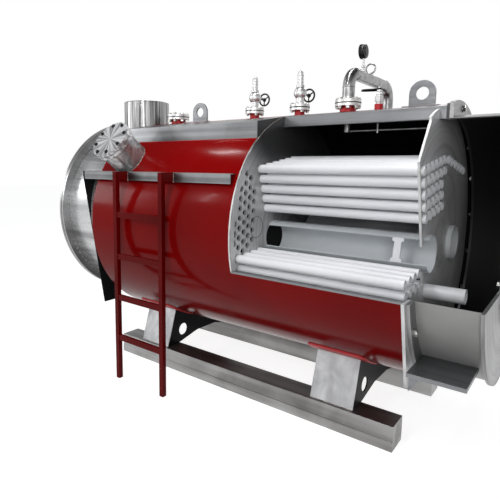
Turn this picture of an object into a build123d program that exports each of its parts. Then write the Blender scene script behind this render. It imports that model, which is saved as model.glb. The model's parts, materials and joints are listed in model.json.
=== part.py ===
from build123d import *
from math import cos, hypot, radians, sin, sqrt
import os

# An industrial fire-tube boiler, cut open along one side to show its tubes.
# Lengths are in millimetres and angles in degrees. X runs forward from the
# front face of the rear tube sheet, -Y is the opened side, Z is up from the
# floor, and the boiler's axis is at Y zero. The last step moves the whole
# model so that the origin is under the middle of its box.

# One overrun serves every cut that has to run clear of what it cuts.
OVERRUN = 60

# Boiler shell, which stands on saddles a named rise above the skids
SHELL_RADIUS = 760
SKID_HEIGHT = 144
SADDLE_RISE = 189.5
AXIS_HEIGHT = SKID_HEIGHT + SADDLE_RISE + SHELL_RADIUS
SHELL_WALL = 12
REAR_LENGTH = 1272
OPEN_LENGTH = 981
END_PLATE_THICKNESS = 12
SHELL_BORE = SHELL_RADIUS - SHELL_WALL
CROWN = AXIS_HEIGHT + SHELL_RADIUS

# Cut frame: the bars that edge the opening in the shell
SILL_DROP = 191.5
SILL_HEIGHT = AXIS_HEIGHT - SILL_DROP
SILL_BAR_HEIGHT = 12
FRAME_DEPTH = 40
FRAME_THICKNESS = 12
TOP_BAR_REACH = 185
TOP_BAR_WIDTH = 40
TOP_BAR_HEIGHT = 88.5
TOP_BAR_BOTTOM = CROWN - TOP_BAR_HEIGHT
TOP_BAR_BACK = TOP_BAR_REACH - TOP_BAR_WIDTH

# Rear tube sheet and its hexagonal holes
SHEET_THICKNESS = 16
HEX_HOLE_WIDTH = 34
HEX_START_REACH = 540
HEX_START_RISE = 347.5
HEX_START = (-HEX_START_REACH, AXIS_HEIGHT + HEX_START_RISE)
HEX_SIDE_STEP = (-48, -31)
HEX_DOWN_STEP = (-4, -58)
HEX_RIM_MARGIN = 15
HEX_TUBE_MARGIN = 95
HEX_DROP = 93.5
HEX_LOWEST = AXIS_HEIGHT - HEX_DROP
HEX_SIDE_COUNTS = (-1, 5)
HEX_DOWN_COUNTS = (-1, 8)

# Fire tubes
TUBE_RADIUS = 25.5
TUBE_WALL = 3.2
TUBE_LENGTH = 966
UPPER_START_REACH = 444
UPPER_START_RISE = 401.5
UPPER_START = (-UPPER_START_REACH, AXIS_HEIGHT + UPPER_START_RISE)
UPPER_ROW_STEP = (19, -61)
UPPER_COLUMN_STEP = (78, 12)
UPPER_ROWS = 5
UPPER_COLUMNS = 6
UPPER_LAST_COLUMN_ROWS = 2
LOWER_START_REACH = 666
LOWER_START_DROP = 128.5
LOWER_START = (-LOWER_START_REACH, AXIS_HEIGHT - LOWER_START_DROP)
LOWER_COLUMN_STEP = (75, 5)
LOWER_ROW_STEP = (22, -62)
LOWER_COLUMNS = 4
LOWER_ROWS = 2

# Flues: two large tubes, the one on the opened side with a slot cut in it
FLUE_RADIUS = 105
FLUE_WALL = 6
FLUE_REACH = 263
FLUE_DROP = 36.5
FLUE_HEIGHT = AXIS_HEIGHT - FLUE_DROP
FLUE_LENGTH = 975
SLOT_TOP_ANGLE = 128.7
SLOT_BOTTOM_ANGLE = 208.3
STAY_START = 800
STAY_WIDTH = 37
STAY_CAP_WIDTH = 60
STAY_CAP_HEIGHT = 20
STAY_THICKNESS = 8

# Front tube sheet, cut away on the opened side. The edge is in shares of the
# shell's radius, measured from the boiler's axis.
FRONT_SHEET_START = 936
FRONT_SHEET_THICKNESS = 12
FRONT_SHEET_EDGE_SHARES = (
    (-0.434, 0.853), (-0.648, 0.584), (-0.483, 0.065), (-0.395, -0.261), (-0.789, -0.274))
STUB_RADIUS = 40
STUB_WALL = 4
STUB_REACH = 240
STUB_DROP = 243.5
STUB_LENGTH = 200

# Front end: frame plate, flange ring, drum and cover
FRONT_PLATE_THICKNESS = 15
FRONT_PLATE_REACH = 771
FRONT_PLATE_FOOT_REACH = 645
FRONT_PLATE_DROP = 628.5
FRONT_PLATE_FOOT = AXIS_HEIGHT - FRONT_PLATE_DROP
DRUM_RADIUS = 700
DRUM_WALL = 8
DRUM_LENGTH = 290
DRUM_FLANGE_RADIUS = 780
DRUM_FLANGE_THICKNESS = 20
FRONT_COVER_RADIUS = 720
FRONT_COVER_THICKNESS = 16
BURNER_FLANGE_RADIUS = 180
BURNER_FLANGE_THICKNESS = 24
BURNER_HOLE_RADIUS = 120
BURNER_DROP = 233.5
BURNER_HEIGHT = AXIS_HEIGHT - BURNER_DROP
SHELF_DROP = 508.5
SHELF_TOP = AXIS_HEIGHT - SHELF_DROP
SHELF_THICKNESS = 20
SHELF_REACH = 750
SHELF_BACK = 440
SHELF_LENGTH = 250
GUSSET_LENGTH = 60
GUSSET_DROP = 90
GUSSET_THICKNESS = 8
GUSSET_INSET = 50

# Walkway: a low sheet-metal step along each side of the crown
WALK_REACH = 485
WALK_DROP = 72.5
WALK_TOP = CROWN - WALK_DROP
WALK_INNER_REACH = 174
WALK_SHEET = 6
WALK_END_THICKNESS = 6

# Rear smokebox and its flanges, set above the boiler's axis
SMOKEBOX_RISE = 51.5
SMOKEBOX_HEIGHT = AXIS_HEIGHT + SMOKEBOX_RISE
SMOKEBOX_RADIUS = 668
SMOKEBOX_WALL = 8
SMOKEBOX_LENGTH = 432
REAR_FLANGE_RADIUS = 734
REAR_FLANGE_THICKNESS = 20
REAR_FLANGE_GAP = 6
REAR_GASKET_RADIUS = 722
COVER_RIB_HEIGHT = 500
COVER_RIB_DEPTH = 45
COVER_RIB_THICKNESS = 12
COVER_RIB_REACH = 560

# Flue stack
STACK_RADIUS = 192.5
STACK_WALL = 5
STACK_SETBACK = 218
STACK_X = -REAR_LENGTH - STACK_SETBACK
STACK_RISE = 232
STACK_TOP = SMOKEBOX_HEIGHT + SMOKEBOX_RADIUS + STACK_RISE

# Manhole on the shell, square to its surface
MANHOLE_X = -1021
MANHOLE_ANGLE = 37.5
MANHOLE_NECK_RADIUS = 108
MANHOLE_NECK_WALL = 9
MANHOLE_COVER_RADIUS = 148
MANHOLE_FLANGE_THICKNESS = 24
MANHOLE_GASKET = 4
MANHOLE_SEAL_RADIUS = 126
MANHOLE_STANDOFF = 220
MANHOLE_TOP = SHELL_RADIUS + MANHOLE_STANDOFF

# Flanges of the crown nozzles
FLANGE_THICKNESS = 26
FLANGE_GASKET = 3
FLANGE_PAIR_HEIGHT = FLANGE_THICKNESS * 2 + FLANGE_GASKET

# Crown nozzles, each with its flanges a named rise above the crown
BLIND_X = -1113
BLIND_NECK_RADIUS = 55
BLIND_BORE_RADIUS = 49
BLIND_FLANGE_RADIUS = 91
BLIND_FLANGE_RISE = 30.5
BLIND_FLANGE_BOTTOM = CROWN + BLIND_FLANGE_RISE
STEAM_X = 360
STEAM_NECK_RADIUS = 50
STEAM_BORE_RADIUS = 38
STEAM_FLANGE_RADIUS = 80
STEAM_FLANGE_RISE = 34.5
STEAM_FLANGE_BOTTOM = CROWN + STEAM_FLANGE_RISE
VALVE_XS = (-350, 17)
VALVE_NECK_RADIUS = 34
VALVE_BORE_RADIUS = 25
VALVE_FLANGE_RADIUS = 67
VALVE_FLANGE_RISE = 31.5
VALVE_FLANGE_BOTTOM = CROWN + VALVE_FLANGE_RISE

# Valve bodies, turned about their upright axis
VALVE_RISE = 61
VALVE_HEIGHT = VALVE_FLANGE_BOTTOM + FLANGE_PAIR_HEIGHT + VALVE_RISE
VALVE_WAIST_RADIUS = 25
VALVE_BULB_RADIUS = 38
VALVE_BULB_BAND = 24
VALVE_BULB_SHOULDER = 16
VALVE_COLLAR_RADIUS = 27
VALVE_COLLAR_RISE = 34
VALVE_COLLAR_HEIGHT = 15
VALVE_BONNET_RADIUS = 21.5
VALVE_BONNET_HEIGHT = 90
VALVE_CAP_RADIUS = 14
VALVE_CAP_HEIGHT = 9
GLAND_RADIUS = 17
GLAND_REACH = 66
STEM_RADIUS = 7
STEM_CLEARANCE = 0.6
STEM_DEPTH = 20
WHEEL_RADIUS = 48
WHEEL_RIM_RADIUS = 5
WIRE_SIDES = 8
WHEEL_HUB_RADIUS = 13
WHEEL_HUB_LENGTH = 16
WHEEL_REACH = 125
WHEEL_SPOKES = 3
SPOKE_WIDTH = 9
SPOKE_THICKNESS = 6

# Balance pipe from the steam nozzle over to the far side of the shell
PIPE_RADIUS = 38
PIPE_WALL = 4
PIPE_BEND = 95
PIPE_RISE = 159
PIPE_RUN_HEIGHT = STEAM_FLANGE_BOTTOM + FLANGE_PAIR_HEIGHT + PIPE_RISE
PIPE_RETURN_RISE = 411.5
PIPE_RETURN_HEIGHT = AXIS_HEIGHT + PIPE_RETURN_RISE
PIPE_STANDOFF = 78

# Pressure gauge and syphon loop on the pipe run
GAUGE_Y = 220
GAUGE_RADIUS = 47.5
GAUGE_DEPTH = 42
GAUGE_BEZEL_WIDTH = 5
GAUGE_BEZEL_DEPTH = 8
GAUGE_NUT_WIDTH = 26
GAUGE_NUT_HEIGHT = 28
GAUGE_NUT_TOP = PIPE_RUN_HEIGHT + PIPE_RADIUS + GAUGE_NUT_HEIGHT
GAUGE_STEM_RADIUS = 6
GAUGE_STEM_LENGTH = 50.5
GAUGE_HEIGHT = GAUGE_NUT_TOP + GAUGE_STEM_LENGTH + GAUGE_RADIUS
SYPHON_Y = 350
SYPHON_LEG_LENGTH = 30
SYPHON_HEIGHT = PIPE_RUN_HEIGHT + PIPE_RADIUS + SYPHON_LEG_LENGTH
SYPHON_RADIUS = 32
SYPHON_TUBE_RADIUS = 5.5
SYPHON_LEG_RADIUS = 8

# Ball valve with a flat lever
BALL_X = 556
BALL_NECK_RADIUS = 25
BALL_BORE_RADIUS = 12
BALL_NECK_RISE = 36.5
BALL_NECK_TOP = CROWN + BALL_NECK_RISE
BALL_BODY_RADIUS = 16.5
BALL_BODY_HEIGHT = 61
BALL_BODY_TOP = BALL_NECK_TOP + BALL_BODY_HEIGHT
BALL_BOSS_RADIUS = 26
BALL_BOSS_HEIGHT = 30
BALL_STEM_RADIUS = 6
BALL_COLLAR_HEIGHT = 8
BALL_NUT_RADIUS = 9
BALL_NUT_HEIGHT = 6
LEVER_RISE = 22
LEVER_BOTTOM = BALL_BODY_TOP + LEVER_RISE
LEVER_PLAY = 0.4
LEVER_THICKNESS = 5
LEVER_WIDTH = 20
LEVER_LENGTH = 111
LEVER_HUB_RADIUS = 13
LEVER_HUB_HEIGHT = 12

# Pipes seen inside the opened shell, under the crown
INNER_STUB_RADIUS = 25
INNER_STUB_WALL = 3
INNER_STUB_DROP = 123.5
INNER_STUB_BOTTOM = CROWN - INNER_STUB_DROP
INNER_PROBE_RADIUS = 7
INNER_PROBE_DROP = 134.5
INNER_PROBE_BOTTOM = CROWN - INNER_PROBE_DROP
INNER_ROD_RADIUS = 6

# Lifting lugs
LUG_XS = (-871, 805)
LUG_RADIUS = 72.5
LUG_THICKNESS = 15
LUG_HOLE_RADIUS = 36.5
LUG_HOLE_RISE = 78.5
LUG_HOLE_HEIGHT = CROWN + LUG_HOLE_RISE
LUG_PAD_THICKNESS = 8
LUG_PAD_LENGTH = 200
LUG_PAD_WIDTH = 90

# Platform along the opened side, on the ladder's top. The edge of the plate at
# its rear end is in shares of the smokebox's radius, from the smokebox's axis.
PLATFORM_RISE = 373.5
PLATFORM_TOP = AXIS_HEIGHT + PLATFORM_RISE
PLATFORM_SETBACK = 40
PLATFORM_REACH = SHELL_RADIUS - PLATFORM_SETBACK
PLATFORM_SHEET = 5
PLATFORM_FASCIA = 60
PLATFORM_START = -1410
PLATFORM_END = -20
PLATE_THICKNESS = 5
NECK_CLEARANCE = 3
REAR_PLATE_EDGE_SHARES = ((-1.085, 0.406), (-0.831, -1.103), (-0.66, -1.103))

# Ladder
LADDER_CLEARANCE = 33
STILE_WIDTH = 34
STILE_DEPTH = 32
LADDER_REACH = SHELL_RADIUS + LADDER_CLEARANCE + STILE_DEPTH
STILE_XS = (-928, -491)
RUNG_HEIGHT = 40
RUNG_DEPTH = 22
RUNG_DROP = 272
RUNG_TOP = PLATFORM_TOP - RUNG_DROP
RUNG_PITCH = 290.3
RUNGS = 4

# Skids and saddles
SKID_OUTER = 470
SKID_INNER = 315
SKID_WALL = 8
SKID_START = -1287
SKID_END = 894
SKID_LIP_HEIGHT = 58
SKID_LIP = 4
SADDLES = {"rear": (-1078, -800), "front": (393, 659)}
SADDLE_FOOT_REACH = 450
SADDLE_HEAD_REACH = 363
SADDLE_PLATE = 8
WEB_THICKNESS = 8
WEB_FOOT_INNER = 330
WEB_ARCH_REACH = 110
WEB_ARCH_RISE = 48
WEB_HOLE_RADIUS = 46
WEB_HOLE_REACH = 278
WEB_HOLE_RISE = 98
PAD_THICKNESS = 8
PAD_MARGIN = 45
PAD_REACH = 440
PAD_CORNER = 40


# Helpers: sketches drawn in one plane and pushed out square to it

def across(sketch, x, length):
    """Extrude a sketch drawn in Y and Z forward from x."""
    return extrude(Plane.YZ.offset(x) * sketch, amount=length)


def along(sketch, y, depth):
    """Extrude a sketch drawn in X and Z toward +Y from y."""
    return extrude(Plane.XZ.offset(-y) * sketch, amount=-depth)


def upright(sketch, z, height):
    """Extrude a sketch drawn in X and Y upward from z."""
    return extrude(Plane.XY.offset(z) * sketch, amount=height)


def patch(first, second):
    """A rectangle between two limits along each of its plane's axes."""
    centre = ((first[0] + first[1]) / 2, (second[0] + second[1]) / 2)
    return Pos(*centre) * Rectangle(first[1] - first[0], second[1] - second[0])


def outline(*points):
    """A face inside a closed row of straight edges."""
    return make_face(Polyline(*points, close=True))


def ring(outer, wall):
    """A flat ring of a given outer radius and wall."""
    return Circle(outer) - Circle(outer - wall)


def on_axis(sketch):
    """A sketch in Y and Z moved up to the boiler's axis."""
    return Pos(0, AXIS_HEIGHT) * sketch


def both_sides(solid):
    """A solid and its mirror image on the boiler's other side."""
    return [solid, mirror(solid, Plane.XZ)]


def shell_height(y, radius=SHELL_RADIUS):
    """How far the round surface of a given radius rises above the axis at y."""
    return sqrt(radius**2 - y**2)


def shell_core(radius=SHELL_RADIUS):
    """The solid round that the shell encloses, as long as the whole boiler."""
    start = -REAR_LENGTH - SMOKEBOX_LENGTH
    return across(on_axis(Circle(radius)), start, OPEN_LENGTH - start)


def opened_region(edge, sill):
    """What is cut away in Y and Z on the opened side: outside an edge and above a sill."""
    return patch((-SHELL_RADIUS - OVERRUN, -edge), (sill, CROWN + OVERRUN))


def manhole_frame(height):
    """A plane square to the manhole's axis at a given distance from the boiler's axis."""
    outward = Vector(0, -cos(radians(MANHOLE_ANGLE)), sin(radians(MANHOLE_ANGLE)))
    origin = Vector(MANHOLE_X, 0, AXIS_HEIGHT) + outward * height
    return Plane(origin=origin, x_dir=(1, 0, 0), z_dir=outward)


def manhole_disc(sketch, bottom, thickness):
    """Extrude a sketch outward along the manhole's axis from a given distance."""
    return extrude(manhole_frame(bottom) * sketch, amount=thickness)


def wire_ring(radius, wire_radius):
    """A ring of eight-sided bar, lying flat, with a given outer radius."""
    section = Plane.XZ * Pos(radius - wire_radius, 0) * RegularPolygon(wire_radius, WIRE_SIDES)
    return revolve(section, Axis.Z)


# Shell and cut frame

def shell():
    """The round shell: whole behind the rear tube sheet, open on one side ahead of it."""
    wall = on_axis(ring(SHELL_RADIUS, SHELL_WALL))
    opened = wall - opened_region(TOP_BAR_BACK, SILL_HEIGHT - SILL_BAR_HEIGHT)
    body = across(wall, -REAR_LENGTH, REAR_LENGTH) + across(opened, 0, OPEN_LENGTH)
    bores = [(BLIND_X, BLIND_BORE_RADIUS), (STEAM_X, STEAM_BORE_RADIUS), (BALL_X, BALL_BORE_RADIUS)]
    bores += [(x, VALVE_BORE_RADIUS) for x in VALVE_XS]
    for x, radius in bores:
        body -= upright(Pos(x, 0) * Circle(radius), AXIS_HEIGHT, SHELL_RADIUS + OVERRUN)
    manhole_bore = MANHOLE_NECK_RADIUS - MANHOLE_NECK_WALL
    body -= manhole_disc(Circle(manhole_bore), SHELL_BORE - OVERRUN, SHELL_WALL + OVERRUN * 2)
    return body


def shell_end_plate():
    return across(on_axis(Circle(SHELL_BORE)), -REAR_LENGTH, END_PLATE_THICKNESS)


def cut_frame_ring():
    band = on_axis(ring(SHELL_RADIUS, FRAME_DEPTH)) & opened_region(TOP_BAR_REACH, SILL_HEIGHT)
    return across(band, 0, FRAME_THICKNESS)


def cut_frame_top_bar():
    box = patch((-TOP_BAR_REACH, -TOP_BAR_BACK), (TOP_BAR_BOTTOM, CROWN))
    return across(box & on_axis(Circle(SHELL_RADIUS)), 0, OPEN_LENGTH)


def cut_frame_sill():
    strip = patch((-SHELL_RADIUS, 0), (SILL_HEIGHT - SILL_BAR_HEIGHT, SILL_HEIGHT))
    return across(strip & on_axis(ring(SHELL_RADIUS, FRAME_DEPTH)), 0, OPEN_LENGTH)


# Rear tube sheet

def hex_places():
    """Lattice places between the upper tubes and the cut frame."""
    places = []
    for side in range(*HEX_SIDE_COUNTS):
        for down in range(*HEX_DOWN_COUNTS):
            y = HEX_START[0] + side * HEX_SIDE_STEP[0] + down * HEX_DOWN_STEP[0]
            z = HEX_START[1] + side * HEX_SIDE_STEP[1] + down * HEX_DOWN_STEP[1]
            lean = UPPER_ROW_STEP[0] / UPPER_ROW_STEP[1]
            tubes_edge = UPPER_START[0] + (z - UPPER_START[1]) * lean
            in_rim = hypot(y, z - AXIS_HEIGHT) < SHELL_RADIUS - FRAME_DEPTH - HEX_RIM_MARGIN
            if in_rim and y < tubes_edge - HEX_TUBE_MARGIN and z > HEX_LOWEST:
                places.append((y, z))
    return places


def tube_sheet_rear():
    disc = on_axis(Circle(SHELL_BORE))
    hexagon = RegularPolygon(HEX_HOLE_WIDTH / 2, 6, major_radius=False)
    for y, z in hex_places():
        disc -= Pos(y, z) * hexagon
    return across(disc, -SHEET_THICKNESS, SHEET_THICKNESS)


# Fire tubes, flues and the front tube sheet

def upper_tube_places():
    places = []
    for column in range(UPPER_COLUMNS):
        rows = UPPER_LAST_COLUMN_ROWS if column == UPPER_COLUMNS - 1 else UPPER_ROWS
        for row in range(rows):
            y = UPPER_START[0] + column * UPPER_COLUMN_STEP[0] + row * UPPER_ROW_STEP[0]
            z = UPPER_START[1] + column * UPPER_COLUMN_STEP[1] + row * UPPER_ROW_STEP[1]
            places.append((y, z))
    return places


def lower_tube_places():
    places = []
    for row in range(LOWER_ROWS):
        for column in range(LOWER_COLUMNS):
            y = LOWER_START[0] + column * LOWER_COLUMN_STEP[0] + row * LOWER_ROW_STEP[0]
            z = LOWER_START[1] + column * LOWER_COLUMN_STEP[1] + row * LOWER_ROW_STEP[1]
            places.append((y, z))
    return places


def far_tube_places():
    """The far side's top row of upper tubes, which closes the view past the near ones."""
    return [(-y, z) for y, z in upper_tube_places()[::UPPER_ROWS]]


def tubes(places):
    section = ring(TUBE_RADIUS, TUBE_WALL)
    return [across(Pos(y, z) * section, 0, TUBE_LENGTH) for y, z in places]


def flue(side, slotted):
    centre = Pos(side * FLUE_REACH, FLUE_HEIGHT)
    section = ring(FLUE_RADIUS, FLUE_WALL)
    if slotted:
        reach = FLUE_RADIUS * 2
        top = (reach * cos(radians(SLOT_TOP_ANGLE)), reach * sin(radians(SLOT_TOP_ANGLE)))
        bottom = (reach * cos(radians(SLOT_BOTTOM_ANGLE)), reach * sin(radians(SLOT_BOTTOM_ANGLE)))
        section -= outline((0, 0), top, (-reach, 0), bottom)
    return across(centre * section, 0, FLUE_LENGTH)


def flue_stay():
    """An I-shaped stay that bridges the slot, standing on the flue's cut edges."""
    middle = FLUE_RADIUS - FLUE_WALL / 2
    points = []
    for angle in (SLOT_TOP_ANGLE, SLOT_BOTTOM_ANGLE):
        y = -FLUE_REACH + middle * cos(radians(angle))
        z = FLUE_HEIGHT + middle * sin(radians(angle))
        points.append(Vector(y, z))
    top, bottom = points
    run = (bottom - top).normalized()
    side = Vector(run.Y, -run.X) * (STAY_THICKNESS / 2)
    cap_end = top + run * STAY_CAP_HEIGHT
    foot_end = bottom - run * STAY_CAP_HEIGHT
    middle_x = STAY_START + STAY_WIDTH / 2
    stay = across(strip_between(cap_end, foot_end, side), STAY_START, STAY_WIDTH)
    for first, second in ((top, cap_end), (foot_end, bottom)):
        cap = strip_between(first, second, side)
        stay += across(cap, middle_x - STAY_CAP_WIDTH / 2, STAY_CAP_WIDTH)
    return stay - flue(-1, True)


def strip_between(first, second, side):
    corners = (first + side, second + side, second - side, first - side)
    return outline(*[(corner.X, corner.Y) for corner in corners])


def tube_sheet_front():
    """The front sheet: a disc with the opened side cut away along a broken line."""
    edge = [(y * SHELL_RADIUS, AXIS_HEIGHT + z * SHELL_RADIUS) for y, z in FRONT_SHEET_EDGE_SHARES]
    outside = -SHELL_RADIUS - OVERRUN
    opened = outline((edge[0][0], CROWN), *edge, (outside, edge[-1][1]), (outside, CROWN))
    disc = on_axis(Circle(SHELL_BORE)) - opened
    disc -= patch((-TOP_BAR_REACH, -TOP_BAR_BACK), (TOP_BAR_BOTTOM, CROWN))
    for side in (-1, 1):
        disc -= Pos(side * FLUE_REACH, FLUE_HEIGHT) * Circle(FLUE_RADIUS)
    for y, z in upper_tube_places() + far_tube_places() + lower_tube_places():
        disc -= Pos(y, z) * Circle(TUBE_RADIUS)
    return across(disc, FRONT_SHEET_START, FRONT_SHEET_THICKNESS)


def stub_pipe():
    start = FRONT_SHEET_START + FRONT_SHEET_THICKNESS
    place = Pos(-STUB_REACH, AXIS_HEIGHT - STUB_DROP)
    return across(place * ring(STUB_RADIUS, STUB_WALL), start, STUB_LENGTH)


# Front end

def front_plate():
    """The frame plate on the shell's front edge, with straight slanted sides below."""
    foot = outline(
        (-FRONT_PLATE_REACH, SILL_HEIGHT), (-FRONT_PLATE_FOOT_REACH, FRONT_PLATE_FOOT),
        (FRONT_PLATE_FOOT_REACH, FRONT_PLATE_FOOT), (FRONT_PLATE_REACH, SILL_HEIGHT))
    plate = foot + on_axis(Circle(FRONT_PLATE_REACH))
    plate -= on_axis(Circle(DRUM_RADIUS - DRUM_WALL))
    plate -= opened_region(TOP_BAR_REACH, SILL_HEIGHT)
    return across(plate, OPEN_LENGTH, FRONT_PLATE_THICKNESS)


def drum_start():
    return OPEN_LENGTH + FRONT_PLATE_THICKNESS


def drum_flange():
    flange = on_axis(ring(DRUM_FLANGE_RADIUS, DRUM_FLANGE_RADIUS - DRUM_RADIUS))
    flange -= opened_region(TOP_BAR_REACH, SILL_HEIGHT)
    return across(flange, drum_start(), DRUM_FLANGE_THICKNESS)


def drum():
    wall = on_axis(ring(DRUM_RADIUS, DRUM_WALL)) - opened_region(TOP_BAR_REACH, SILL_HEIGHT)
    return across(wall, drum_start(), DRUM_LENGTH)


def burner_place():
    return Pos(0, BURNER_HEIGHT)


def front_cover():
    disc = on_axis(Circle(FRONT_COVER_RADIUS)) - opened_region(TOP_BAR_REACH, SILL_HEIGHT)
    disc -= burner_place() * Circle(BURNER_HOLE_RADIUS)
    return across(disc, drum_start() + DRUM_LENGTH, FRONT_COVER_THICKNESS)


def burner_flange():
    start = drum_start() + DRUM_LENGTH + FRONT_COVER_THICKNESS
    wall = BURNER_FLANGE_RADIUS - BURNER_HOLE_RADIUS
    return across(burner_place() * ring(BURNER_FLANGE_RADIUS, wall), start, BURNER_FLANGE_THICKNESS)


def front_shelf():
    """A flat shelf ahead of the front flange, trimmed to the drum it stands off."""
    start = drum_start() + DRUM_FLANGE_THICKNESS
    top = patch((-SHELF_REACH, -SHELF_BACK), (SHELF_TOP - SHELF_THICKNESS, SHELF_TOP))
    return across(top - on_axis(Circle(DRUM_RADIUS)), start, SHELF_LENGTH)


def shelf_gussets():
    """Triangular gussets under the shelf, one near each edge."""
    start = drum_start() + DRUM_FLANGE_THICKNESS
    bottom = SHELF_TOP - SHELF_THICKNESS
    low = bottom - GUSSET_DROP
    triangle = outline((start, bottom), (start, low), (start + GUSSET_LENGTH, bottom))
    reaches = (SHELF_REACH - GUSSET_INSET, SHELF_BACK + GUSSET_INSET)
    return [along(triangle, -reach, GUSSET_THICKNESS) for reach in reaches]


# Walkway

def walk_profile(reach, top, inner):
    """The step's outer line in Y and Z, closed inside the shell."""
    slope_end = AXIS_HEIGHT + shell_height(inner)
    return outline((-reach, AXIS_HEIGHT), (-reach, top), (-inner, slope_end), (-inner, AXIS_HEIGHT))


def walk_section():
    return walk_profile(WALK_REACH, WALK_TOP, WALK_INNER_REACH) - on_axis(Circle(SHELL_RADIUS))


def walk_fascia(start, length):
    strip = patch((-WALK_REACH, -WALK_REACH + WALK_SHEET), (AXIS_HEIGHT, WALK_TOP))
    return across(strip & walk_section(), start, length)


def walk_cover(start, length):
    """The sloping sheet from the fascia's top to the shell."""
    lowered = Pos(0, -WALK_SHEET) * walk_profile(WALK_REACH, WALK_TOP, WALK_INNER_REACH)
    fascia = patch((-WALK_REACH, -WALK_REACH + WALK_SHEET), (AXIS_HEIGHT, WALK_TOP))
    return across(walk_section() - lowered - fascia, start, length)


def walk_end_plate():
    return across(walk_section(), 0, WALK_END_THICKNESS)


# Rear smokebox and stack

def smokebox_axis(sketch):
    return Pos(0, SMOKEBOX_HEIGHT) * sketch


def smokebox_shell():
    start = -REAR_LENGTH - SMOKEBOX_LENGTH
    body = across(smokebox_axis(ring(SMOKEBOX_RADIUS, SMOKEBOX_WALL)), start, SMOKEBOX_LENGTH)
    bore = Pos(STACK_X, 0) * Circle(STACK_RADIUS - STACK_WALL)
    return body - upright(bore, SMOKEBOX_HEIGHT, SMOKEBOX_RADIUS + OVERRUN)


def smokebox_flange():
    """The ring round the smokebox's open end, flush with the wrapper's end."""
    start = -REAR_LENGTH - SMOKEBOX_LENGTH
    wall = REAR_FLANGE_RADIUS - SMOKEBOX_RADIUS
    return across(smokebox_axis(ring(REAR_FLANGE_RADIUS, wall)), start, REAR_FLANGE_THICKNESS)


def smokebox_gasket():
    start = -REAR_LENGTH - SMOKEBOX_LENGTH - REAR_FLANGE_GAP
    wall = REAR_GASKET_RADIUS - SMOKEBOX_RADIUS + SMOKEBOX_WALL
    return across(smokebox_axis(ring(REAR_GASKET_RADIUS, wall)), start, REAR_FLANGE_GAP)


def smokebox_cover():
    """The end cover with its cross ribs."""
    face = -REAR_LENGTH - SMOKEBOX_LENGTH - REAR_FLANGE_GAP
    back = face - REAR_FLANGE_THICKNESS
    cover = across(smokebox_axis(Circle(REAR_FLANGE_RADIUS)), back, REAR_FLANGE_THICKNESS)
    rib = Rectangle(COVER_RIB_REACH * 2, COVER_RIB_THICKNESS)
    for height in (-COVER_RIB_HEIGHT / 2, COVER_RIB_HEIGHT / 2):
        cover += across(smokebox_axis(Pos(0, height) * rib), back - COVER_RIB_DEPTH, COVER_RIB_DEPTH)
    return cover


def flue_stack():
    ring_section = Pos(STACK_X, 0) * ring(STACK_RADIUS, STACK_WALL)
    pipe = upright(ring_section, SMOKEBOX_HEIGHT, STACK_TOP - SMOKEBOX_HEIGHT)
    start = -REAR_LENGTH - SMOKEBOX_LENGTH
    return pipe - across(smokebox_axis(Circle(SMOKEBOX_RADIUS)), start, SMOKEBOX_LENGTH)


# Manhole

def manhole_flange_bottom():
    return MANHOLE_TOP - MANHOLE_FLANGE_THICKNESS * 2 - MANHOLE_GASKET


def manhole_neck():
    height = manhole_flange_bottom()
    start = SHELL_BORE - MANHOLE_NECK_RADIUS
    tube = manhole_disc(ring(MANHOLE_NECK_RADIUS, MANHOLE_NECK_WALL), start, height - start)
    return tube - shell_core()


def manhole_flange():
    wall = MANHOLE_COVER_RADIUS - MANHOLE_NECK_RADIUS + MANHOLE_NECK_WALL
    section = ring(MANHOLE_COVER_RADIUS, wall)
    flange = manhole_disc(section, manhole_flange_bottom(), MANHOLE_FLANGE_THICKNESS)
    inset = ring(MANHOLE_SEAL_RADIUS, MANHOLE_SEAL_RADIUS - MANHOLE_NECK_RADIUS + MANHOLE_NECK_WALL)
    top = manhole_flange_bottom() + MANHOLE_FLANGE_THICKNESS
    return flange + manhole_disc(inset, top, MANHOLE_GASKET)


def manhole_cover():
    bottom = MANHOLE_TOP - MANHOLE_FLANGE_THICKNESS
    return manhole_disc(Circle(MANHOLE_COVER_RADIUS), bottom, MANHOLE_FLANGE_THICKNESS)


# Crown nozzles and valves

def neck(x, radius, bore, top):
    """A nozzle neck, cut to sit on the shell."""
    section = Pos(x, 0) * ring(radius, radius - bore)
    return upright(section, AXIS_HEIGHT, top - AXIS_HEIGHT) - shell_core()


def flange_pair(x, radius, bore, bottom, closed):
    """Two flanges with a gasket between them, the upper one blind where closed."""
    lower = upright(Pos(x, 0) * ring(radius, radius - bore), bottom, FLANGE_THICKNESS)
    seal_radius = (radius + bore) / 2
    seal_bottom = bottom + FLANGE_THICKNESS
    lower += upright(Pos(x, 0) * ring(seal_radius, seal_radius - bore), seal_bottom, FLANGE_GASKET)
    section = Circle(radius) if closed else ring(radius, radius - bore)
    upper = upright(Pos(x, 0) * section, seal_bottom + FLANGE_GASKET, FLANGE_THICKNESS)
    return lower, upper


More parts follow.
